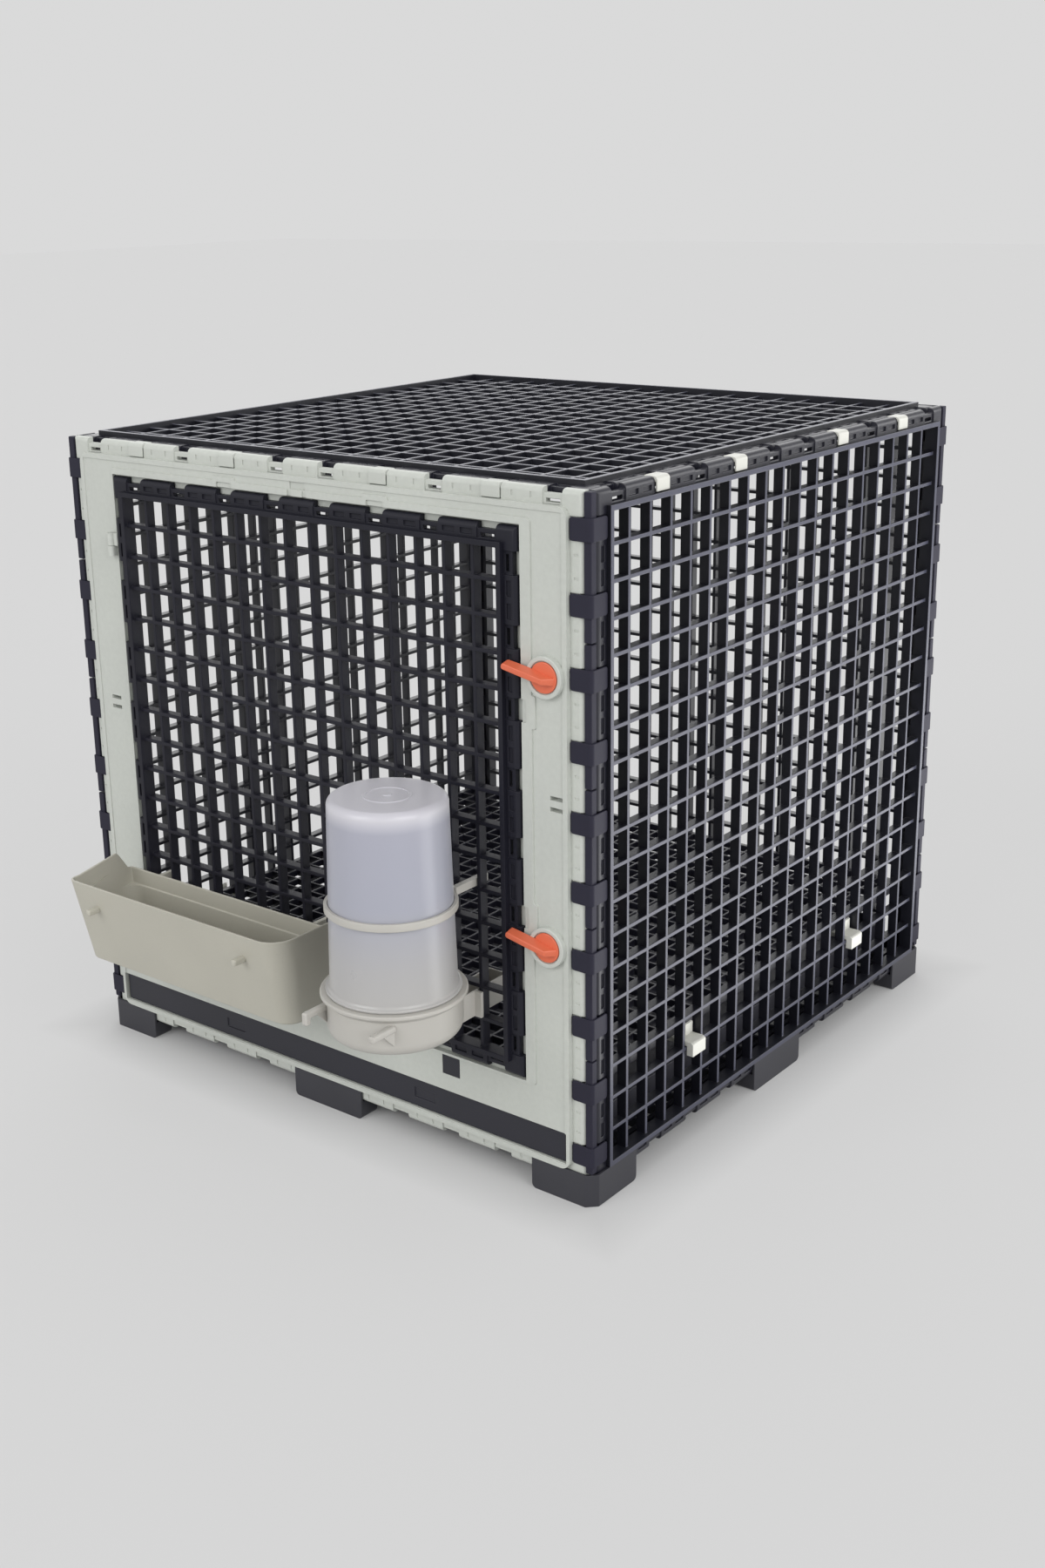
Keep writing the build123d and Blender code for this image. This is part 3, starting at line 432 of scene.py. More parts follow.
def prism(outline, low, high):
    """An outline, anticlockwise, extruded along z."""
    return loft([[(x, y, level) for x, y in outline] for level in (low, high)])


def arc(centre, radius, start, end, steps):
    """Points on an arc, angles in degrees."""
    turns = [math.radians(start + (end - start) * step / steps) for step in range(steps + 1)]
    return [(centre[0] + radius * math.cos(turn), centre[1] + radius * math.sin(turn)) for turn in turns]


def same(*lengths):
    """Whether lengths are the same."""
    return max(lengths) - min(lengths) < NEAR


def bevel(bm, edges, width, steps, clamp):
    """Rounds the edges."""
    shape = {"offset": width, "segments": steps, "profile": 0.5, "clamp_overlap": clamp}
    bmesh.ops.bevel(bm, geom=edges, affect="EDGES", **shape)


def eased(solid, width, steps=2, rounds=()):
    """The solid with its sharp edges rounded; rounds are (test, radius) pairs for chosen edges first."""
    points, faces = solid
    bm = bmesh.new()
    corners = [bm.verts.new(point) for point in points]
    for face in faces:
        bm.faces.new([corners[number] for number in face])
    bmesh.ops.remove_doubles(bm, verts=bm.verts, dist=NEAR / 100)
    bmesh.ops.dissolve_limit(bm, angle_limit=FLAT_ANGLE, verts=bm.verts, edges=bm.edges)
    for test, radius in rounds:
        chosen = [edge for edge in bm.edges if test(edge.verts[0].co, edge.verts[1].co)]
        bevel(bm, chosen, radius, ROUND_STEPS, False)
    bm.normal_update()
    inner = [edge for edge in bm.edges if len(edge.link_faces) == 2]
    sharp = [edge for edge in inner if edge.calc_face_angle(0) > SHARP_ANGLE]
    bevel(bm, sharp, width, steps, True)
    bm.verts.index_update()
    result = [tuple(vert.co) for vert in bm.verts], [[v.index for v in f.verts] for f in bm.faces]
    bm.free()
    return result


def moved(solid, matrix):
    """The solid put in place by a matrix."""
    points, faces = solid
    points = [tuple(matrix @ Vector(point)) for point in points]
    if matrix.determinant() < 0:
        faces = [face[::-1] for face in faces]
    return points, faces


# Pieces and their places
body_names = {
    node: body for body, nodes in frame["record"]["behaviour"]["bodies"].items() for node in nodes
}


def mesh_of(name, solids, smooth=True):
    """One mesh from several solids."""
    points, faces = [], []
    for part_points, part_faces in solids:
        faces += [[len(points) + number for number in face] for face in part_faces]
        points += part_points
    mesh = bpy.data.meshes.new(name)
    mesh.from_pydata(points, [], faces)
    mesh.validate()
    if smooth:
        mesh.shade_smooth()
        mesh.set_sharp_from_angle(angle=SMOOTH_ANGLE)
    return mesh


def added(name, data):
    """A new object in the scene."""
    obj = bpy.data.objects.new(name, data)
    bpy.context.scene.collection.objects.link(obj)
    return obj


def piece(name, mesh, material, nodes, place=Matrix()):
    """A finished piece that stands for some nodes and rides on their body."""
    obj = added(name, mesh)
    if not mesh.materials:
        mesh.materials.append(material)
    obj.matrix_world = place
    obj.modifiers.new("flat_faces", "WEIGHTED_NORMAL").keep_sharp = True
    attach(obj, body_names[nodes[0]])
    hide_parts(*nodes)


def dress(node, material):
    """Gives a solid of the frame its material."""
    obj = frame["nodes"][node]
    obj.data.materials.clear()
    obj.data.materials.append(material)


def placed(origin, x, y):
    """Frame at a point, from its x and y directions."""
    return Matrix.Translation(origin) @ Matrix((x, y, x.cross(y))).transposed().to_4x4()


def wall(out, across, centre=CENTRE, reach=HALF):
    """Frame of a wall: local x along it, local z out of it, origin on the inside of its edge."""
    return placed(centre + out * reach, across, out.cross(across))


def edge(out_wall, out_cap):
    """Frame of a cage edge: local x out of the wall, local y out of the cap, origin at its middle."""
    return placed(CENTRE + (out_wall + out_cap) * HALF, out_wall, out_cap)


# Materials
def put(node, values):
    """Sets inputs of a node, or links them to outputs of other nodes."""
    for name, value in values.items():
        if isinstance(value, bpy.types.NodeSocket):
            node.id_data.links.new(value, node.inputs[name])
        else:
            node.inputs[name].default_value = value


def made(tree, kind, values):
    """A new shader node with its inputs."""
    node = tree.nodes.new(f"ShaderNode{kind}")
    put(node, values)
    return node


def principled(material):
    """Main shader of a material."""
    return material.node_tree.nodes["Principled BSDF"]


def noise(tree, place, scale, detail=2):
    """Value of a noise texture."""
    return made(tree, "TexNoise", {"Vector": place, "Scale": scale, "Detail": detail}).outputs["Fac"]


def ranged(tree, value, span, result):
    """The value brought from one span to another."""
    ends = dict(zip(("From Min", "From Max", "To Min", "To Max"), (*span, *result)))
    return made(tree, "MapRange", {"Value": value, **ends}).outputs["Result"]


def toned(tree, value, stops):
    """Colour for the value, from stops of position and colour."""
    ramp = made(tree, "ValToRGB", {"Fac": value})
    elements = ramp.color_ramp.elements
    for spot, tone in stops[1:-1]:
        elements.new(spot).color = (*tone, 1)
    for element, (spot, tone) in ((elements[0], stops[0]), (elements[-1], stops[-1])):
        element.position = spot
        element.color = (*tone, 1)
    return ramp.outputs["Color"]


def tinted(tree, colour, share):
    """The colour times a share."""
    mix = tree.nodes.new("ShaderNodeMix")
    mix.data_type = "RGBA"
    mix.blend_type = "MULTIPLY"
    put(mix, {"Factor": 1, MIX_COLOURS[0]: colour, MIX_COLOURS[1]: share})
    return mix.outputs[MIX_RESULT]


def axis_of(tree, vector, axis):
    """One axis of a vector."""
    return made(tree, "SeparateXYZ", {"Vector": vector}).outputs[axis]


def plastic(name, colour, rough, grain, shift, fleck=0, streak=0, painted_highlight=0):
    """Moulded plastic: colour that drifts a little, fine grain and a satin gloss.

    It may have dark flecks, streaks up its height, and a painted highlight that lightens the faces looking
    out of a panel.
    """
    material = bpy.data.materials.new(name)
    material.use_nodes = True
    tree = material.node_tree
    coords = tree.nodes.new("ShaderNodeTexCoord").outputs
    place = coords["Object"]
    cloud = noise(tree, place, *CLOUD)
    tones = [[part * level for part in colour] for level in about(1, shift)]
    surface = toned(tree, cloud, list(zip(DRIFT, tones)))
    if streak:
        flow = made(tree, "Mapping", {"Vector": place, "Scale": FLOW})
        lines = noise(tree, flow.outputs["Vector"], 1, STREAK_DETAIL)
        surface = tinted(tree, surface, ranged(tree, lines, DRIFT, about(1, streak)))
    if fleck:
        dots = noise(tree, place, FLECK_SCALE)
        surface = tinted(tree, surface, ranged(tree, dots, FLECK_SPAN, (1, 1 - fleck)))
    # painted highlight: faces that look out of their panel are lightened, standing in for light caught by
    # the rib fronts and rims
    if painted_highlight:
        outward = axis_of(tree, coords["Normal"], "Z")
        surface = tinted(tree, surface, ranged(tree, outward, OUTER_SPAN, (1, painted_highlight)))
    gloss = ranged(tree, cloud, (0, 1), about(rough, GLOSS_DRIFT))
    grains = {"Strength": grain, "Distance": GRAIN_DEPTH, "Height": noise(tree, place, *GRAIN)}
    normal = made(tree, "Bump", grains).outputs["Normal"]
    put(principled(material), {"Base Color": surface, "Roughness": gloss, "Normal": normal})
    return material


# Name, colour, roughness, grain and drift of colour
dark = plastic("dark_plastic", (0.012, 0.012, 0.020), 0.36, 0.25, 0.10)
# the grid ribs and rims get a painted highlight on their outer faces
grid = plastic("grid_plastic", (0.0098, 0.0102, 0.0152), 0.36, 0.25, 0.10, painted_highlight=5.6)
door = plastic("door_plastic", (0.012, 0.012, 0.019), 0.42, 0.25, 0.10)
grey = plastic("foot_plastic", (0.032, 0.032, 0.040), 0.42, 0.30, 0.10)
matt = plastic("connector_plastic", (0.027, 0.026, 0.040), 0.50, 0.25, 0.08)
for paint, level in ((grid, 0.40), (door, 0.25), (matt, 0.12)):
    put(principled(paint), {"Specular IOR Level": level})
pale = plastic("pale_plastic", (0.53, 0.55, 0.51), 0.42, 0.15, 0.03, streak=0.025)
white = plastic("white_plastic", (0.60, 0.60, 0.55), 0.40, 0.12, 0.03)
orange = plastic("orange_plastic", (0.70, 0.150, 0.072), 0.36, 0.12, 0.06)
beige = plastic("beige_plastic", (0.47, 0.455, 0.39), 0.48, 0.22, 0.03, fleck=0.06)
cream = plastic("drinker_plastic", (0.48, 0.465, 0.43), 0.42, 0.15, 0.03)
milky = plastic("bottle_plastic", (0.53, 0.535, 0.58), 0.30, 0.08, 0.03)
put(principled(milky), MILKY)


# Grid panels
def lattice(cells, pitch, rib, back, front, half):
    """Bars of a square grid, level and upright, flush with each other."""
    places = [(number - cells / 2) * pitch for number in range(1, cells)]
    upright = [box(*about(x, rib / 2), -half, half, back, front) for x in places]
    level = [box(-half, half, *about(y, rib / 2), back, front) for y in places]
    return upright + level


def toothed_edge(half, seats, pocket):
    """Boxes and cuts of the toothed edge: clip seats, a slot in each, and two pockets in each tooth."""
    length, inset, width, depth = pocket
    boxes = frame_boxes(half, half - RIM_INSET - RIM_WIDTH / 2, 0, FLANGE)
    cuts = []
    places = [(number - (seats - 1) / 2) * SEAT for number in range(seats)]
    crests = [(number - seats / 2) * SEAT for number in range(1, seats)]
    for sign in (1, -1):
        for place in places:
            along = about(place, NOTCH_WIDTH / 2)
            cuts += both_ways(along, (half - NOTCH_DEPTH, half), sign, 0, FLANGE)
            cuts += both_ways(along, (half - RIM_INSET, half), sign, FLANGE - SADDLE, FLANGE)
            along = about(place, SLOT_LENGTH / 2)
            cuts += both_ways(along, (half - SLOT_INSET - SLOT_WIDTH, half - SLOT_INSET), sign, 0, FLANGE)
        for place in crests:
            for side in (-POCKET_PLACE, POCKET_PLACE):
                along = about(place + side, length / 2)
                cuts += both_ways(along, (half - inset - width, half - inset), sign, FLANGE - depth, FLANGE)
    return boxes, cuts


def both_ways(along, across, sign, z0, z1):
    """A box on a level edge and the same on an upright edge, on the side given by the sign."""
    near, far = sorted((sign * across[0], sign * across[1]))
    return [box(*along, near, far, z0, z1), box(near, far, *along, z0, z1)]


def outer_edges(half):
    """Test for the outer edges of the teeth of a panel."""
    def test(one, two):
        raised = min(one.z, two.z) > FLANGE - NEAR
        beside = same(abs(one.x), abs(two.x), half)
        level = same(abs(one.y), abs(two.y), half)
        return raised and (beside or level)
    return test


def teeth(half, seats, pocket):
    """The toothed edge as a solid, with its outer edges rounded."""
    border = skin(*toothed_edge(half, seats, pocket))
    return eased(border, GRID_EASE, rounds=((outer_edges(half), TOOTH_R),))


def grid_panel(cells):
    """Solids of a grid panel, with its origin on the inside of its edge."""
    half = cells * CELL / 2 + CELL / 2
    rim = half - RIM_INSET
    bars = lattice(cells, CELL, RIB, RIB_BACK, FLANGE, rim - RIM_WIDTH / 2)
    border = frame_boxes(rim, rim - RIM_WIDTH, RIB_BACK, FLANGE + RIM)
    return [eased(skin(bars + border), GRID_EASE), teeth(half, (cells + 1) // 2, POCKET)]


panel_solids = grid_panel(CELLS)
panel_mesh = mesh_of("grid_panel", panel_solids)
panel_mesh.materials.append(grid)
panel_mesh.materials.append(dark)
for face in panel_mesh.polygons[len(panel_solids[0][1]):]:
    face.material_index = 1
WALLS = {
    "top_panel": wall(UP, RIGHT, reach=HALF - FLANGE),
    "bottom_panel": wall(-UP, RIGHT, reach=HALF - FLANGE),
    "right_panel": wall(RIGHT, BACK),
    "left_panel": wall(-RIGHT, -BACK),
    "back_panel": wall(BACK, -RIGHT),
}
for node, place in WALLS.items():
    piece(f"{node}_grid", panel_mesh, grid, [node], place)

# Door with its hinge knuckles
low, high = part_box("door_panel")
DOOR_HALF = (DOOR_CELLS + 1) * CELL / 2
DOOR_X = high.x - DOOR_HALF
DOOR_Z = (low.z + high.z) / 2
DOOR_Y = CAGE_Y - HALF - DOOR_FACE
door_place = wall(-BACK, RIGHT, Vector((DOOR_X, DOOR_Y, DOOR_Z)), 0)
low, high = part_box("upper_hinge_pin")
HINGE = ((low.x + high.x) / 2, low.y + KNUCKLE_R)
PIN_TOPS = (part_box("lower_hinge_pin")[1].z, high.z)
knuckles = []
for top in PIN_TOPS:
    eye = lathe([(PIN_R + FIT, -KNUCKLE), (KNUCKLE_R, -KNUCKLE), (KNUCKLE_R, 0), (PIN_R + FIT, 0)], 32)
    eye = moved(eye, Matrix.Translation((*HINGE, top)))
    sides = (HINGE[0] + PIN_R + FIT, HINGE[0] + KNUCKLE_ARM)
    arm = box(*sides, HINGE[1], HINGE[1] + KNUCKLE_R, top - KNUCKLE, top)
    for solid in (eye, skin([arm])):
        knuckles.append(moved(solid, door_place.inverted()))
door_mesh = mesh_of("door_grid", grid_panel(DOOR_CELLS))
piece("door_grid", door_mesh, door, ["door_panel"], door_place)
knuckle_mesh = mesh_of("door_knuckles", knuckles)
piece("door_knuckles", knuckle_mesh, pale, ["door_panel"], door_place)

# Pale front panel
FACE = FLANGE + RIM
FIELD = HALF - RIM_INSET
DOOR_V = DOOR_Z - CAGE_Z
REBATE = DOOR_HALF + DOOR_PLAY
SLOT_HALF = FIELD - SLOT_END
low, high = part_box("upper_latch")
LATCH_X = high.x - KNOB_R
LATCH_Y = low.y
LATCHES = ("lower_latch", "upper_latch")
LATCH_ROWS = [sum(corner.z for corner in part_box(node)) / 2 for node in LATCHES]


def field_round(one, two):
    """Whether an edge is an upright corner of the raised field."""
    corner = same(abs(one.x), FIELD) and same(abs(one.y), FIELD)
    return corner and not same(one.z, two.z) and max(one.z, two.z) > FLANGE


def on_rim(one, two):
    """Whether an edge is an upright corner of the rim round the doorway, its bumps included."""
    outside = max(abs(one.x), abs(one.y - DOOR_V)) > REBATE + NEAR
    raised = min(one.z, two.z) > FACE - NEAR and max(one.z, two.z) > FACE + BEAD_H + NEAR
    return outside and raised and same(one.x, two.x) and same(one.y, two.y)


def rim_corner(one, two):
    """Whether an edge is one of the two outer corners of that rim."""
    top = same(one.y, DOOR_V + REBATE + TOP_RIM)
    bottom = same(one.y, DOOR_V - REBATE - BOTTOM_RIM)
    return on_rim(one, two) and same(one.x, REBATE + SIDE_RIM) and (top or bottom)


def bump_corner(one, two):
    """Whether an edge is any other upright corner of that rim."""
    return on_rim(one, two) and not rim_corner(one, two)


def front_panel():
    """Solids of the front panel, with its origin on the inside of its edge."""
    top, side = REBATE + TOP_RIM, REBATE + SIDE_RIM
    rise = FACE + RIM_RISE
    clear = DOOR_HALF - LIP
    boxes = [box(-FIELD, FIELD, -FIELD, FIELD, 0, FACE)]
    boxes += frame_boxes(FIELD, FIELD - BEAD, FACE, FACE + BEAD_H)
    boxes.append(box(-REBATE, side, DOOR_V - REBATE - BOTTOM_RIM, DOOR_V + top, FACE, rise))
    cuts = []
    long, short = BUMP / 2, BUMP_POCKET / 2
    deep = REBATE + POCKET_DEPTH
    for place in (-BUMP_PLACE, BUMP_PLACE):
        level = DOOR_V + place
        boxes.append(box(*about(place, long), DOOR_V + REBATE, DOOR_V + top + BUMP_OUT, FACE, rise))
        boxes.append(box(REBATE, side + BUMP_OUT, *about(level, long), FACE, rise))
        cuts.append(box(*about(place, short), DOOR_V + REBATE, DOOR_V + deep, FACE, rise))
        cuts.append(box(REBATE, deep, *about(level, short), FACE, rise))
    for start in (-CATCH, CATCH - CATCH_GAP):
        cuts.append(box(start, start + CATCH_GAP, DOOR_V + REBATE, DOOR_V + top, FACE, rise))
    inside = CATCH - CATCH_GAP / 2
    recess = (DOOR_V + top, DOOR_V + top + CATCH_RISE)
    cuts.append(box(-inside, inside, *recess, FACE - CATCH_DEPTH, FACE))
    cuts.append(box(-REBATE, REBATE, *about(DOOR_V, REBATE), FLANGE, rise))
    cuts.append(box(-clear, clear, *about(DOOR_V, clear), 0, rise))
    slot = SLOT_LOW - HALF
    cuts.append(box(-SLOT_HALF, SLOT_HALF, slot, slot + SLOT_HEIGHT, 0, rise))
    for middle in (MARK_RIGHT, MARK_LEFT):
        for level in about(DOOR_V + MARK_RISE, MARK_PITCH / 2):
            cuts.append(box(*about(middle, MARK_HALF), *about(level, MARK_HEIGHT / 2), 0, rise))
    low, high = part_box("front_floor_lugs")
    rows = (low.z - CAGE_Z - FIT, high.z - CAGE_Z + FIT)
    for middle in (-LUG_X, LUG_X):
        cuts.append(box(*about(middle, LUG_HALF + FIT), *rows, 0, rise))
    rounds = ((field_round, FIELD_R), (bump_corner, BUMP_R), (rim_corner, RIM_R))
    plate = eased(skin(boxes, cuts), PLATE_EASE, rounds=rounds)
    solids = [plate, teeth(HALF, (CELLS + 1) // 2, DASH)]
    seat = FACE + BOSS_HEIGHT
    bend = seat + BOSS_RIM - LATCH_EDGE
    inner = DISC_R + KNOB_PLAY
    ring = [(SHAFT_R + FIT, FACE), (BOSS_R, FACE)]
    ring += arc((BOSS_R - LATCH_EDGE, bend), LATCH_EDGE, 0, 90, EDGE_STEPS)
    ring += arc((inner + LATCH_EDGE, bend), LATCH_EDGE, 90, 180, EDGE_STEPS)
    ring += [(inner, seat), (SHAFT_R + FIT, seat)]
    for level in LATCH_ROWS:
        solids.append(moved(lathe(ring), Matrix.Translation((LATCH_X, level - CAGE_Z, 0))))
    return solids


front_mesh = mesh_of("front_panel", front_panel())
piece("front_panel_shell", front_mesh, pale, ["front_panel"], wall(-BACK, RIGHT))

# Latches
tilt = math.radians(LEVER_TILT)
latch_turn = Matrix((
    (-math.cos(tilt), -math.sin(tilt), 0),
    (0, 0, -1),
    (math.sin(tilt), -math.cos(tilt), 0),
)).to_4x4()


def latch():
    """Disc, lever and shaft; local x along the lever, z out, origin on the front of the lever."""
    back, face = -LATCH_HEIGHT, KNOB_HEIGHT - LATCH_HEIGHT
    disc = [(0, back), (DISC_R, back)]
    disc += arc((DISC_R - LATCH_EDGE, face - LATCH_EDGE), LATCH_EDGE, 0, 90, EDGE_STEPS)
    disc.append((0, face))
    rows = (  # height, heel, end, and widths at the heel, at the edge of the disc and at the tip
        (face - LEVER_SINK, -LEVER_BACK, LEVER, LEVER_HEEL, LEVER_ROOT, LEVER_TIP),
        (0, LEVER_SLOPE - LEVER_BACK, LEVER - LEVER_LEAN, LEVER_CREST, LEVER_CREST, LEVER_CREST),
    )
    loops = []
    for height, heel, end, back_width, root, tip in rows:
        half = [(heel, back_width / 2), (0, back_width / 2), (DISC_R, root / 2)]
        half += [(end - LEVER_NOSE, tip / 2), (end, tip / 2 - LEVER_NOSE / 2)]
        loop = [(x, -y) for x, y in half] + half[::-1]
        loops.append([(x, y, height) for x, y in loop])
    low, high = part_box("upper_latch")
    shaft = [(0, low.y - high.y), (SHAFT_R, low.y - high.y), (SHAFT_R, back), (0, back)]
    return [lathe(disc), eased(loft(loops), LEVER_EASE, 3), lathe(shaft, 32)]


latch_mesh = mesh_of("latch", latch())
for node, level in zip(LATCHES, LATCH_ROWS):
    place = Matrix.Translation((LATCH_X, LATCH_Y, level)) @ latch_turn
    piece(f"{node}_knob", latch_mesh, orange, [node], place)


# Clips and corner connectors
NEAR_FACE = FLANGE + FIT
CLIP_FACE = NEAR_FACE + CLIP_PLATE
FOOT_FACE = NEAR_FACE + FOOT_WALL


def clip_outline():
    """Section of a top clip: a block in the seats of wall and top and a plate outside the wall."""
    inner, near, far = FIT - NOTCH_DEPTH, NEAR_FACE, CLIP_FACE
    outline = [(inner, 0), (inner, inner), (near, inner), (near, -CLIP_REACH), (far, -CLIP_REACH)]
    return outline + arc((far - CLIP_R, -CLIP_R), CLIP_R, 0, 90, ROUND_STEPS)


def wing_outline():
    """Section of a connector wing: two plates and a block between the panels."""
    near, far = NEAR_FACE, CLIP_FACE
    outline = [(-CLIP_REACH, far), (-CLIP_REACH, near), (FIT, near), (FIT, FIT), (near, FIT)]
    outline += [(near, -CLIP_REACH), (far, -CLIP_REACH)]
    return outline + arc((far - WING_R, far - WING_R), WING_R, 0, 90, ROUND_STEPS)


def wing_corner(one, two):
    """Whether an edge is a corner of a free end of a wing."""
    beside = same(one.x, two.x, -CLIP_REACH)
    across = same(one.y, two.y, -CLIP_REACH)
    return same(one.z, two.z) and (beside or across)


def clips():
    """Four clips along one edge."""
    spans = [about(place * SEAT, CLIP_WIDTH / 2) for place in CLIP_PLACES]
    return [eased(prism(clip_outline(), *span), CLIP_EASE) for span in spans]


def connectors():
    """Connectors up one edge, along local z from the bottom of the cage."""
    solids = []
    strip = [(FIT, FIT), (NEAR_FACE, FIT), (NEAR_FACE, NEAR_FACE), (FIT, NEAR_FACE)]
    rounds = ((wing_corner, WING_CORNER),)
    for row in range(CONNECTORS):
        start = (row - CONNECTORS / 2) * 2 * SEAT
        low = max(start + STRIP_GAP / 2, FOOT_LIP + STRIP_GAP - HALF)
        high = min(start + 2 * SEAT - STRIP_GAP / 2, HALF)
        solids.append(eased(prism(strip, low, high), STRIP_EASE))
        for middle in about(start + SEAT, SEAT / 2):
            ends = about(middle, CLIP_WIDTH / 2)
            solids.append(eased(prism(wing_outline(), *ends), CLIP_EASE, rounds=rounds))
    return solids


clip_mesh = mesh_of("clips", clips())
pale_clip_mesh = clip_mesh.copy()
for side in GRID_SIDES:
    place = edge(SIDES[side], UP)
    piece(f"top_{side}_clip_row", clip_mesh, white, [f"top_{side}_clips"], place)
place = edge(SIDES["front"], UP)
piece("top_front_clip_row", pale_clip_mesh, pale, ["top_front_clips"], place)
connector_mesh = mesh_of("connectors", connectors())
for depth, side in CORNERS:
    place = edge(SIDES[side], SIDES[depth])
    if place.col[2].z < 0:
        place = edge(SIDES[depth], SIDES[side])
    name = f"{depth}_{side}_connector"
    piece(f"{name}_row", connector_mesh, matt, [f"{name}s"], place)


# Feet
def sole_end(one, two):
    """Whether an edge is the lower edge of an end of a foot."""
    low = max(one.z, two.z) < NEAR - SOLE
    ends = (FOOT_FACE - CORNER_LEG, MIDDLE_FOOT / 2, -MIDDLE_FOOT / 2)
    across = any(same(one.y, two.y, end) for end in ends)
    beside = same(one.x, two.x, ends[0])
    return low and (across or beside)


def corner_foot():
    """Corner foot: sole and wall in one, bent round the corner; local x and y out of the walls."""
    near, far = NEAR_FACE, FOOT_FACE
    end = far - CORNER_LEG
    slant = FOOT_BEVEL - FOOT_WALL * (2 - math.sqrt(2))
    outside = [(far, end), (far, far - FOOT_BEVEL), (far - FOOT_BEVEL, far), (end, far)]
    sole = outside + [(end, -FOOT_INNER), (-FOOT_INNER - slant, -FOOT_INNER)]
    sole += [(-FOOT_INNER, -FOOT_INNER - slant), (-FOOT_INNER, end)]
    lip = outside + [(end, near), (near - slant, near), (near, near - slant), (near, end)]
    levels = ((sole, -SOLE), (sole, -FIT), (lip, -FIT), (lip, FOOT_LIP))
    loops = [[(x, y, level) for x, y in outline] for outline, level in levels]
    return eased(loft(loops), CLIP_EASE, rounds=((sole_end, FOOT_END_R),))


def middle_foot():
    """Middle foot; local x out of the wall, y along it and z up from the panel edge."""
    near, far = NEAR_FACE, FOOT_FACE
    half = MIDDLE_FOOT / 2
    boxes = [box(-FOOT_INNER, far, -half, half, -SOLE, -FIT), box(near, far, -half, half, -FIT, FOOT_LIP)]
    return eased(skin(boxes), CLIP_EASE, rounds=((sole_end, FOOT_END_R),))


middle_mesh = mesh_of("middle_foot", [middle_foot()])
for depth, side in CORNERS:
    x, y = SIDES[side].x, SIDES[depth].y
    place = Matrix.Translation((x * HALF, CAGE_Y + y * HALF, SOLE)) @ Matrix.Diagonal((x, y, 1, 1))
    name = f"{depth}_{side}_foot"
    mesh = mesh_of(name, [moved(corner_foot(), place)])
    piece(f"{name}_block", mesh, grey, [name])
for side, out in SIDES.items():
    place = placed(Vector((0, CAGE_Y, SOLE)) + out * HALF, out, UP.cross(out))
    piece(f"{side}_foot_block", middle_mesh, grey, [f"{side}_foot"], place)

# Floor grid and its holders
low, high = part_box("floor_grid")
FLOOR_HALF = high.x
floor_clear = FLOOR_HALF - FLOOR_BORDER
bars = lattice(FLOOR_BARS + 1, FLOOR_CELL, FLOOR_RIB, 0, high.z - low.z, floor_clear + OVERLAP)
border = frame_boxes(FLOOR_HALF, floor_clear, 0, high.z - low.z)
floor_mesh = mesh_of("floor_grid", [eased(skin(bars + border), PLATE_EASE)], smooth=False)
place = Matrix.Translation((0, CAGE_Y, low.z))
piece("floor_mesh", floor_mesh, dark, ["floor_grid"], place)


def holders():
    """Two floor clips of one wall; local x out of the wall, y up from the bar, z along it."""
    solids = []
    outline = [
        (NEAR_FACE, -HOLDER_PLATE),
        (HOLDER_OUT, -HOLDER_PLATE),
        (HOLDER_OUT, HOLDER_TOP - HOLDER_CUT[1]),
        (HOLDER_OUT - HOLDER_CUT[0], HOLDER_TOP),
        (-HOLDER_IN, HOLDER_TOP),
        (-HOLDER_IN, RIB / 2 + FIT),
        (NEAR_FACE, RIB / 2 + FIT),
    ]
    for place in (-HOLDER_PLACE, HOLDER_PLACE):
        solids.append(eased(prism(outline, *about(place, HOLDER_HALF)), HOLDER_EASE))
        rise = (HOLDER_TOP - OVERLAP, HOLDER_TOP + TONGUE)
        end = place - HOLDER_HALF
        tongue = box(RIB_BACK, RIB_BACK + TONGUE_THICK, *rise, end, end + TONGUE_WIDTH)
        solids.append(eased(skin([tongue]), PLATE_EASE))
    return solids


holder_mesh = mesh_of("floor_clips", holders())
low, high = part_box("right_floor_clips")
BAR_Z = low.z + HOLDER_DROP
for side in GRID_SIDES:
    place = placed(Vector((0, CAGE_Y, BAR_Z)) + SIDES[side] * HALF, SIDES[side], UP)
    piece(f"{side}_floor_clip_pair", holder_mesh, white, [f"{side}_floor_clips"], place)

low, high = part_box("front_floor_lugs")
lugs = []
for middle in (-LUG_X, LUG_X):
    lug = box(*about(middle, LUG_HALF), low.y, high.y, low.z, high.z)
    lugs.append(eased(skin([lug]), CLIP_EASE))
lug_mesh = mesh_of("front_lugs", lugs, smooth=False)
piece("front_floor_lug_pair", lug_mesh, dark, ["front_floor_lugs"])

# Drawer
low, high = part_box("drawer")
wide, front_y, back_y = high.x, low.y, high.y
boxes = [box(-wide, wide, front_y, back_y, low.z, high.z)]
inside = (front_y + TRAY_WALL, back_y - TRAY_WALL)
cuts = [box(TRAY_WALL - wide, wide - TRAY_WALL, *inside, low.z + TRAY_WALL, high.z)]
rows = about((low.z + high.z) / 2, GRIP_HEIGHT / 2)
for middle in (-GRIP_X, GRIP_X):
    cuts.append(box(*about(middle, GRIP_HALF), front_y, front_y + GRIP_DEPTH, *rows))
drawer_mesh = mesh_of("drawer", [eased(skin(boxes, cuts), CLIP_EASE)], smooth=False)
piece("drawer_tray", drawer_mesh, dark, ["drawer"])

# Feeder
low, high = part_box("feeder")
FEEDER_X = (low.x + high.x) / 2
FEEDER_HALF = (high.x - low.x) / 2
FEEDER_BACK = CAGE_Y - HALF - FLANGE - FEEDER_OFF
FEEDER_FRONT = FEEDER_BACK - FEEDER_DEPTH
FEEDER_LOW, FEEDER_HIGH = low.z, high.z - EAR
PEG_END = low.y
BAR_TOP = FEEDER_HIGH - FEEDER_OVER


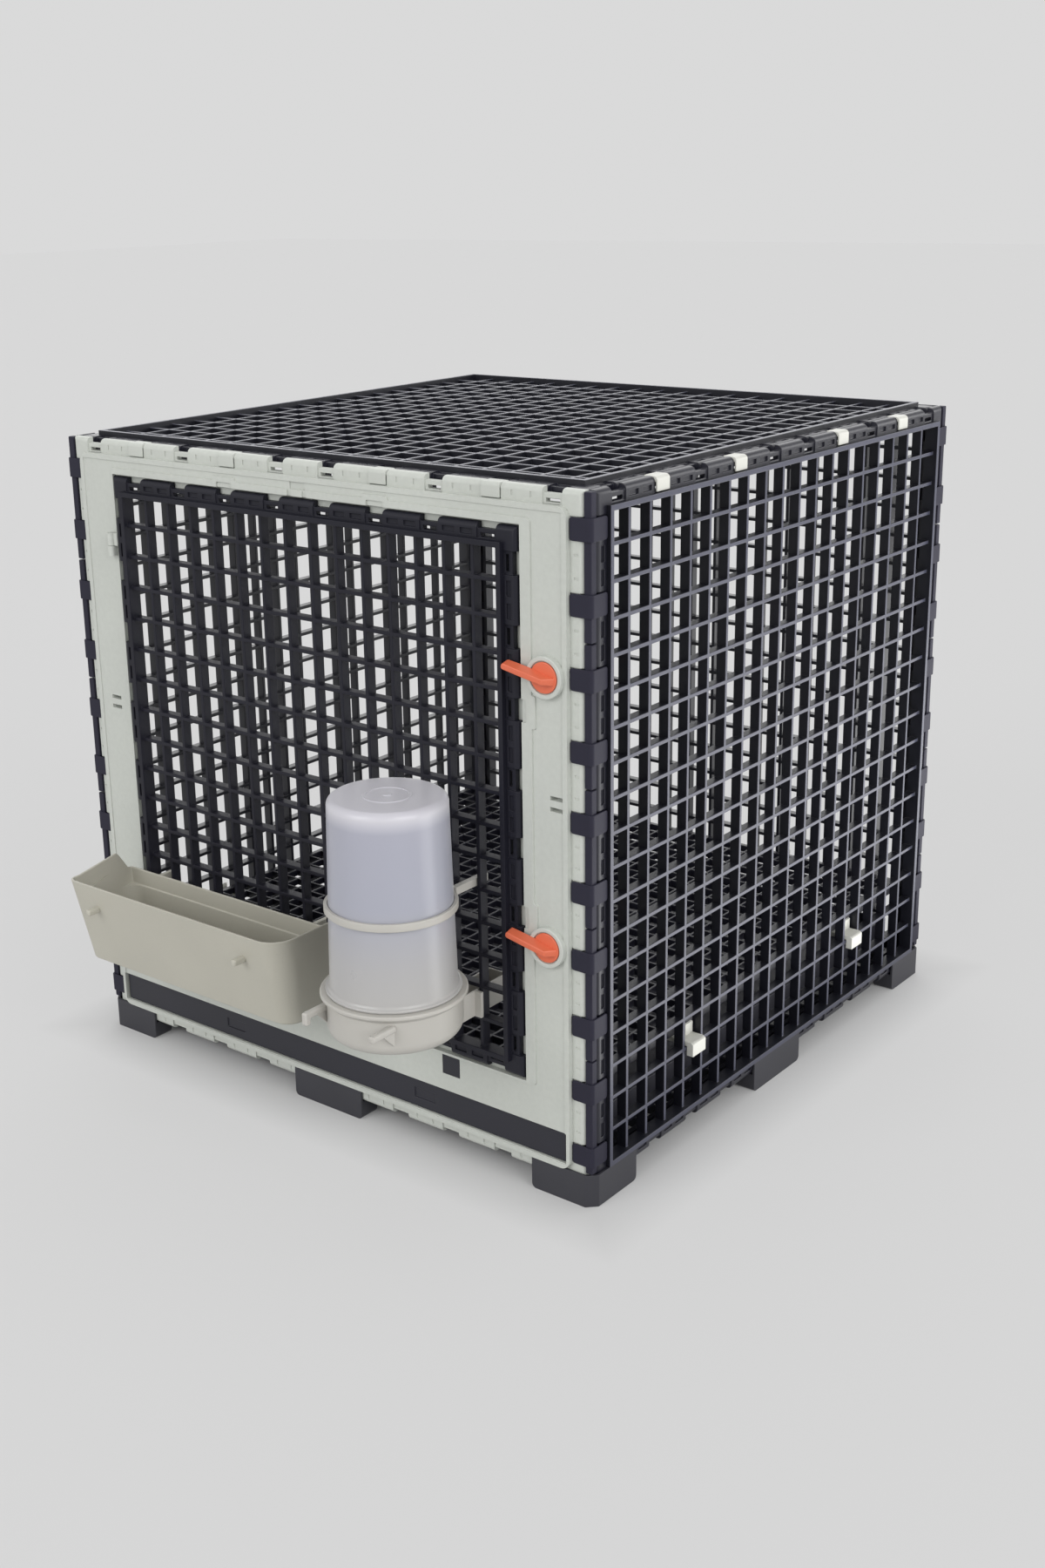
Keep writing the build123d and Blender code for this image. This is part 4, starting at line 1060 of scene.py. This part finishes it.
def trough_loop(share, inset, inner_r=0):
    """Loop round the feeder, from base (share 0) to rim (share 1), set in by some way."""
    half = FEEDER_HALF - FEEDER_TAPER * (1 - share) - inset
    near = FEEDER_FRONT + FEEDER_SLOPE * (1 - share) + inset
    left, right, back = FEEDER_X - half, FEEDER_X + half, FEEDER_BACK - inset
    big = FEEDER_BASE_R + (FEEDER_R - FEEDER_BASE_R) * share - inset
    small = FEEDER_LEFT_R - inset
    tight = max(FEEDER_BACK_R - inset, inner_r)
    corners = [
        arc((right - tight, back - tight), tight, 0, 90, 5),
        arc((left + tight, back - tight), tight, 90, 180, 5),
        arc((left + small, near + small), small, 180, 270, 8),
        arc((right - big, near + big), big, 270, 360, 14),
    ]
    loop = []
    for corner, ahead in zip(corners, corners[1:] + corners[:1]):
        loop += corner
        start, end = Vector(corner[-1]), Vector(ahead[0])
        loop += [tuple(start.lerp(end, step / WALL_STEPS)) for step in range(1, WALL_STEPS)]
    return loop


def rim_lift(x, y):
    """How far the top of the feeder wall lies above its rim: an ear on the left, a low back wall."""
    behind = FEEDER_BACK - y
    from_left = x - FEEDER_X + FEEDER_HALF
    from_right = FEEDER_X + FEEDER_HALF - x
    if from_left < FEEDER_BACK_R and behind < EAR_LENGTH:
        steps = ((EAR_FOOT, -FEEDER_DROP), (EAR_TOP, EAR), (EAR_LENGTH, 0))
        for (d0, z0), (d1, z1) in zip(steps, steps[1:]):
            if d0 <= behind <= d1:
                return z0 + (z1 - z0) * (behind - d0) / (d1 - d0)
        return -FEEDER_DROP
    if behind < FEEDER_BACK_R:
        return -FEEDER_DROP * min(1, max(0, from_right - LOW_WALL_END / 2) / (LOW_WALL_END / 2))
    return 0


def feeder():
    """Thin-walled trough with a thin rim, two pegs in front and two hooks behind."""
    lifts = [rim_lift(x, y) for x, y in trough_loop(1, 0)]
    height = FEEDER_HIGH - FEEDER_LOW
    rows = (  # height, inset and whether the row follows the rim
        (0, FEEDER_FOOT[1], False),
        (FEEDER_BEND, FEEDER_BEND, False),
        (FEEDER_FOOT[0], 0, False),
        (height - FEEDER_EDGE, 0, True),
        (height, FEEDER_EDGE, True),
        (height, FEEDER_WALL - FEEDER_EDGE, True),
        (height - FEEDER_EDGE, FEEDER_WALL, True),
        (height - LEDGE, FEEDER_WALL, True),
        (height - LEDGE - LEDGE_FALL, FEEDER_WALL + LEDGE_IN, True),
        (FEEDER_FLOOR[0], FEEDER_WALL + LEDGE_IN, False),
        (FEEDER_WALL, FEEDER_FLOOR[1], False),
    )
    loops = []
    for rise, inset, lifted in rows:
        loop = trough_loop(rise / height, inset, LEDGE_R if inset > FEEDER_WALL else 0)
        loops.append([(x, y, FEEDER_LOW + rise + lift * lifted) for (x, y), lift in zip(loop, lifts)])
    solids = [loft(loops)]
    share = 1 - FEEDER_OVER / height
    wall_y = FEEDER_FRONT + FEEDER_SLOPE * (1 - share)
    hook_end = FEEDER_BACK + FEEDER_OFF + HOOK_REACH
    bar = BAR_TOP + REST
    for place in PEG_PLACES:
        sides = about(FEEDER_X + place, PEG / 2)
        peg = box(*sides, PEG_END, wall_y + OVERLAP, *about(BAR_TOP, PEG / 2))
        solids.append(eased(skin([peg]), PEG_EASE, 3))
    for x in about(FEEDER_X + FEEDER_SHIFT, HOOK_SIDE):
        sides = about(x, HOOK_HALF)
        arm = box(*sides, FEEDER_BACK - OVERLAP, hook_end, bar, bar + HOOK)
        claw = box(*sides, hook_end - HOOK_CLAW, hook_end, bar - HOOK_DOWN, bar + HOOK)
        solids.append(eased(skin([arm, claw]), CLIP_EASE))
    return solids


piece("feeder_trough", mesh_of("feeder", feeder()), beige, ["feeder"])

# Drinker
low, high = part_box("drinker_bottle")
AXIS = ((low.x + high.x) / 2, (low.y + high.y) / 2)
BOTTLE_LOW, CROWN = low.z, high.z
FLANGE_R = (high.x - low.x) / 2
low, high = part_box("drinker_dish")
DISH_LOW, DISH_TOP = low.z + SPOUT_DROP, high.z
SPOUT_LOW, SPOUT_END = low.z, high.y


def bottle_tone_and_highlight():
    """Colours the bottle by height: warm at the dish, bluish above the ring, a painted highlight as a
    bright band at the shoulder, and a paler crown.
    """
    tree = milky.node_tree
    place = tree.nodes.new("ShaderNodeTexCoord").outputs["Object"]
    share = ranged(tree, axis_of(tree, place, "Z"), (BOTTLE_LOW, CROWN), (0, 1))
    put(principled(milky), {"Base Color": toned(tree, share, BOTTLE_TONES_AND_HIGHLIGHT)})


def dish_bowl():
    """Profile of the round dish with its lip."""
    tall = DISH_TOP - DISH_LOW
    under = tall - DISH_LIP
    profile = [(0, 0)] + arc((DISH_R - DISH_EDGE, DISH_EDGE), DISH_EDGE, -90, 0, 8)
    profile += [(DISH_R, under - DISH_LIP), (DISH_LIP_R - LIP_EDGE, under)]
    profile += arc((DISH_LIP_R - LIP_EDGE, under + LIP_EDGE), LIP_EDGE, -60, 0, 3)
    profile += arc((DISH_LIP_R - LIP_R, tall - LIP_R), LIP_R, 0, 90, EDGE_STEPS)
    profile += [(DISH_R - DISH_WALL, tall), (DISH_R - DISH_WALL, DISH_EDGE)]
    return profile + [(DISH_BASE_R - DISH_WALL, DISH_WALL), (0, DISH_WALL)]


def spout():
    """Channel that leads from the dish into the cage, with a collar in front of the door."""
    middle = AXIS[0] + SPOUT_SIDE
    start = AXIS[1] + SPOUT_START
    rows = (SPOUT_LOW, SPOUT_LOW + SPOUT_HEIGHT)
    collar = CAGE_Y - HALF - DOOR_FACE - FLANGE - COLLAR_GAP
    boxes = [
        box(*about(middle, SPOUT_HALF), start, SPOUT_END, *rows),
        box(*about(middle, COLLAR_HALF), collar - COLLAR_THICK, collar, *rows),
    ]
    ends = (start - OVERLAP, SPOUT_END - SPOUT_WALL)
    sides = about(middle, SPOUT_HALF - SPOUT_WALL)
    hollow = box(*sides, *ends, SPOUT_LOW + SPOUT_FLOOR, rows[1] + OVERLAP)
    return eased(skin(boxes, [hollow]), GRID_EASE)


def dish():
    """Round dish, channel into the cage, and two pegs on fins, the left one turned down at its end."""
    solids = [moved(lathe(dish_bowl(), 96), Matrix.Translation((*AXIS, DISH_LOW))), spout()]
    level = DISH_LOW + DISH_PEG_UP
    end = AXIS[1] - DISH_PEG_REACH
    start = AXIS[1] - math.sqrt((DISH_R - DISH_WALL / 2) ** 2 - DISH_PEG_SIDE**2)
    fin = [(0, 0), (0, -DISH_FIN), (DISH_FIN, 0)]
    turned = Matrix(((0, 0, -1), (-1, 0, 0), (0, 1, 0))).to_4x4()
    for x in about(AXIS[0], DISH_PEG_SIDE):
        sides = about(x, PEG / 2)
        peg = [box(*sides, end, start, *about(level, PEG / 2))]
        if x < AXIS[0]:
            peg.append(box(*sides, end, end + PEG, level - DISH_PEG_DOWN, level + PEG / 2))
        solids.append(eased(skin(peg), DISH_PEG_EASE, 3))
        place = Matrix.Translation((x, start, level)) @ turned
        solids.append(moved(prism(fin, -DISH_WALL / 2, DISH_WALL / 2), place))
    return solids


def bottle():
    """Upturned bottle: skirt in the dish, collar on it, tapered wall and rounded crown."""
    seat = BOTTLE_SKIRT
    crown = CROWN - BOTTLE_LOW
    shoulder = (BOTTLE_TOP_R - SHOULDER_R, crown - SHOULDER_DROP)
    dip, crest = crown - CROWN_DIP, crown - CROWN_RING_DIP
    inner, outer = CROWN_RING
    profile = [(BOTTLE_R, 0), (BOTTLE_R, seat), (FLANGE_R - BOTTLE_EDGE / 2, seat)]
    profile += arc((FLANGE_R - BOTTLE_EDGE, seat + BOTTLE_EDGE), BOTTLE_EDGE, -30, 90, 5)
    profile += [(radius, seat + rise) for radius, rise in BOTTLE_FOOT]
    profile += [(BOTTLE_TOP_R, shoulder[1])] + arc(shoulder, SHOULDER_R, 2, 88, 10)
    profile += [(CROWN_EDGE[0], crown - CROWN_EDGE[1]), (outer, dip)]
    profile += [(outer - CROWN_RING_SLOPE, crest), (inner + CROWN_RING_SLOPE, crest), (inner, dip)]
    profile += [(GATE_R + GATE_SLOPE, dip), (GATE_R, crown), (0, crown), (0, crown - CROWN_WALL)]
    profile += [(shoulder[0], crown - CROWN_WALL), (BOTTLE_TOP_R - BOTTLE_WALL, shoulder[1])]
    profile += [(BOTTLE_R - BOTTLE_WALL, seat), (BOTTLE_R - BOTTLE_WALL, 0)]
    return moved(lathe(profile, 128), Matrix.Translation((*AXIS, BOTTLE_LOW)))


def ring():
    """Ring round the bottle with two pegs that reach through the door."""
    low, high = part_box("drinker_ring")
    radius = (high.x - low.x) / 2
    inset, rise = RING_EDGE
    profile = [(radius - RING, 0), (radius - inset, 0), (radius, rise), (radius, RING_HEIGHT - rise)]
    profile += [(radius - inset, RING_HEIGHT), (radius - RING, RING_HEIGHT)]
    solids = [moved(lathe(profile, 96), Matrix.Translation((*AXIS, low.z)))]
    start = AXIS[1] + math.sqrt((radius - RING / 2) ** 2 - PEG_SIDE**2)
    for x in about(AXIS[0], PEG_SIDE):
        peg = box(*about(x, PEG / 2), start, high.y, high.z - PEG_HEIGHT, high.z)
        solids.append(eased(skin([peg]), CLIP_EASE))
    return solids


bottle_tone_and_highlight()
dish_mesh = mesh_of("dish", dish())
bottle_mesh = mesh_of("bottle", [bottle()])
ring_mesh = mesh_of("ring", ring())
piece("drinker_dish_shell", dish_mesh, cream, ["drinker_dish"])
piece("drinker_bottle_shell", bottle_mesh, milky, ["drinker_bottle"])
piece("drinker_ring_band", ring_mesh, cream, ["drinker_ring"])

# Small solids that keep their shape from the frame
for node in ("left_runner", "right_runner", "upper_latch_nut", "lower_latch_nut"):
    dress(node, dark)
for node in ("upper_hinge_pin", "lower_hinge_pin"):
    dress(node, pale)


# Stage, light and camera
def combined(tree, operation, *values):
    """Result of a math node."""
    node = tree.nodes.new("ShaderNodeMath")
    node.operation = operation
    put(node, dict(enumerate(values)))
    return node.outputs[0]


def seen_rays(tree):
    """One for the rays that show the background: to the camera, in gloss and through glass."""
    rays = tree.nodes.new("ShaderNodeLightPath").outputs
    seen = combined(tree, "MAXIMUM", rays["Is Camera Ray"], rays["Is Glossy Ray"])
    return combined(tree, "MAXIMUM", seen, rays["Is Transmission Ray"])


def mixed(tree, share, first, second, output):
    """Links a mix of two shaders to the output."""
    parts = (share, first.outputs[0], second.outputs[0])
    mix = made(tree, "MixShader", dict(enumerate(parts)))
    put(tree.nodes[output], {"Surface": mix.outputs[0]})


def sky():
    """Even light from all round, with a plain background."""
    world = bpy.data.worlds.new("studio")
    bpy.context.scene.world = world
    world.use_nodes = True
    tree = world.node_tree
    dome = tree.nodes["Background"]
    put(dome, {"Color": (1, 1, 1, 1), "Strength": DOME})
    seen = made(tree, "Background", {"Color": BACKGROUND})
    mixed(tree, seen_rays(tree), dome, seen, "World Output")


def ground():
    """Pale floor that fades into the background and keeps the shadow of the cage."""
    bpy.ops.mesh.primitive_plane_add(size=FLOOR_SIZE)
    floor = bpy.context.object
    floor.name = "floor"
    paint = bpy.data.materials.new("floor")
    paint.use_nodes = True
    tree = paint.node_tree
    face = principled(paint)
    put(face, {"Base Color": FLOOR, "Roughness": FLOOR_ROUGH, "Specular IOR Level": 0})
    glow = made(tree, "Emission", {"Color": BACKGROUND})
    place = tree.nodes.new("ShaderNodeTexCoord").outputs["Object"]
    reach = []
    for axis, middle in (("X", 0), ("Y", CAGE_Y)):
        away = combined(tree, "SUBTRACT", axis_of(tree, place, axis), middle)
        reach.append(combined(tree, "ABSOLUTE", away))
    span = [HALF + end for end in GLOW_FADE]
    fade = ranged(tree, combined(tree, "MAXIMUM", *reach), span, (0, FLOOR_GLOW))
    share = combined(tree, "MULTIPLY", fade, seen_rays(tree))
    mixed(tree, share, face, glow, "Material Output")
    floor.data.materials.append(paint)


def lamp(name, kind, power):
    """A lamp of the scene and its light."""
    light = bpy.data.lights.new(name, kind)
    light.energy = power
    return added(name, light), light


def lamps():
    """Wide suns round the cage, and the card on the floor, which shines up."""
    for name, towards, power, spread in LAMPS:
        obj, light = lamp(name, "SUN", power)
        light.angle = math.radians(spread)
        obj.location = CENTRE + Vector(towards)
        obj.rotation_mode = "QUATERNION"
        obj.rotation_quaternion = Vector(towards).to_track_quat("Z", "Y")
    obj, light = lamp("card", "AREA", CARD_POWER)
    light.shape = "RECTANGLE"
    light.size, light.size_y = CARD_SIZE
    obj.location = CARD
    obj.rotation_euler = (math.pi, 0, 0)


def camera():
    """Camera at the photograph's place, turned in degrees."""
    data = bpy.data.cameras.new("camera")
    data.lens = CAMERA_LENS
    data.shift_x, data.shift_y = CAMERA_SHIFT
    obj = added("camera", data)
    obj.location = CAMERA_AT
    obj.rotation_euler = [math.radians(turn) for turn in CAMERA_TURN]
    bpy.context.scene.camera = obj


sky()
ground()
lamps()
camera()
bpy.context.scene.view_settings.view_transform = "Standard"
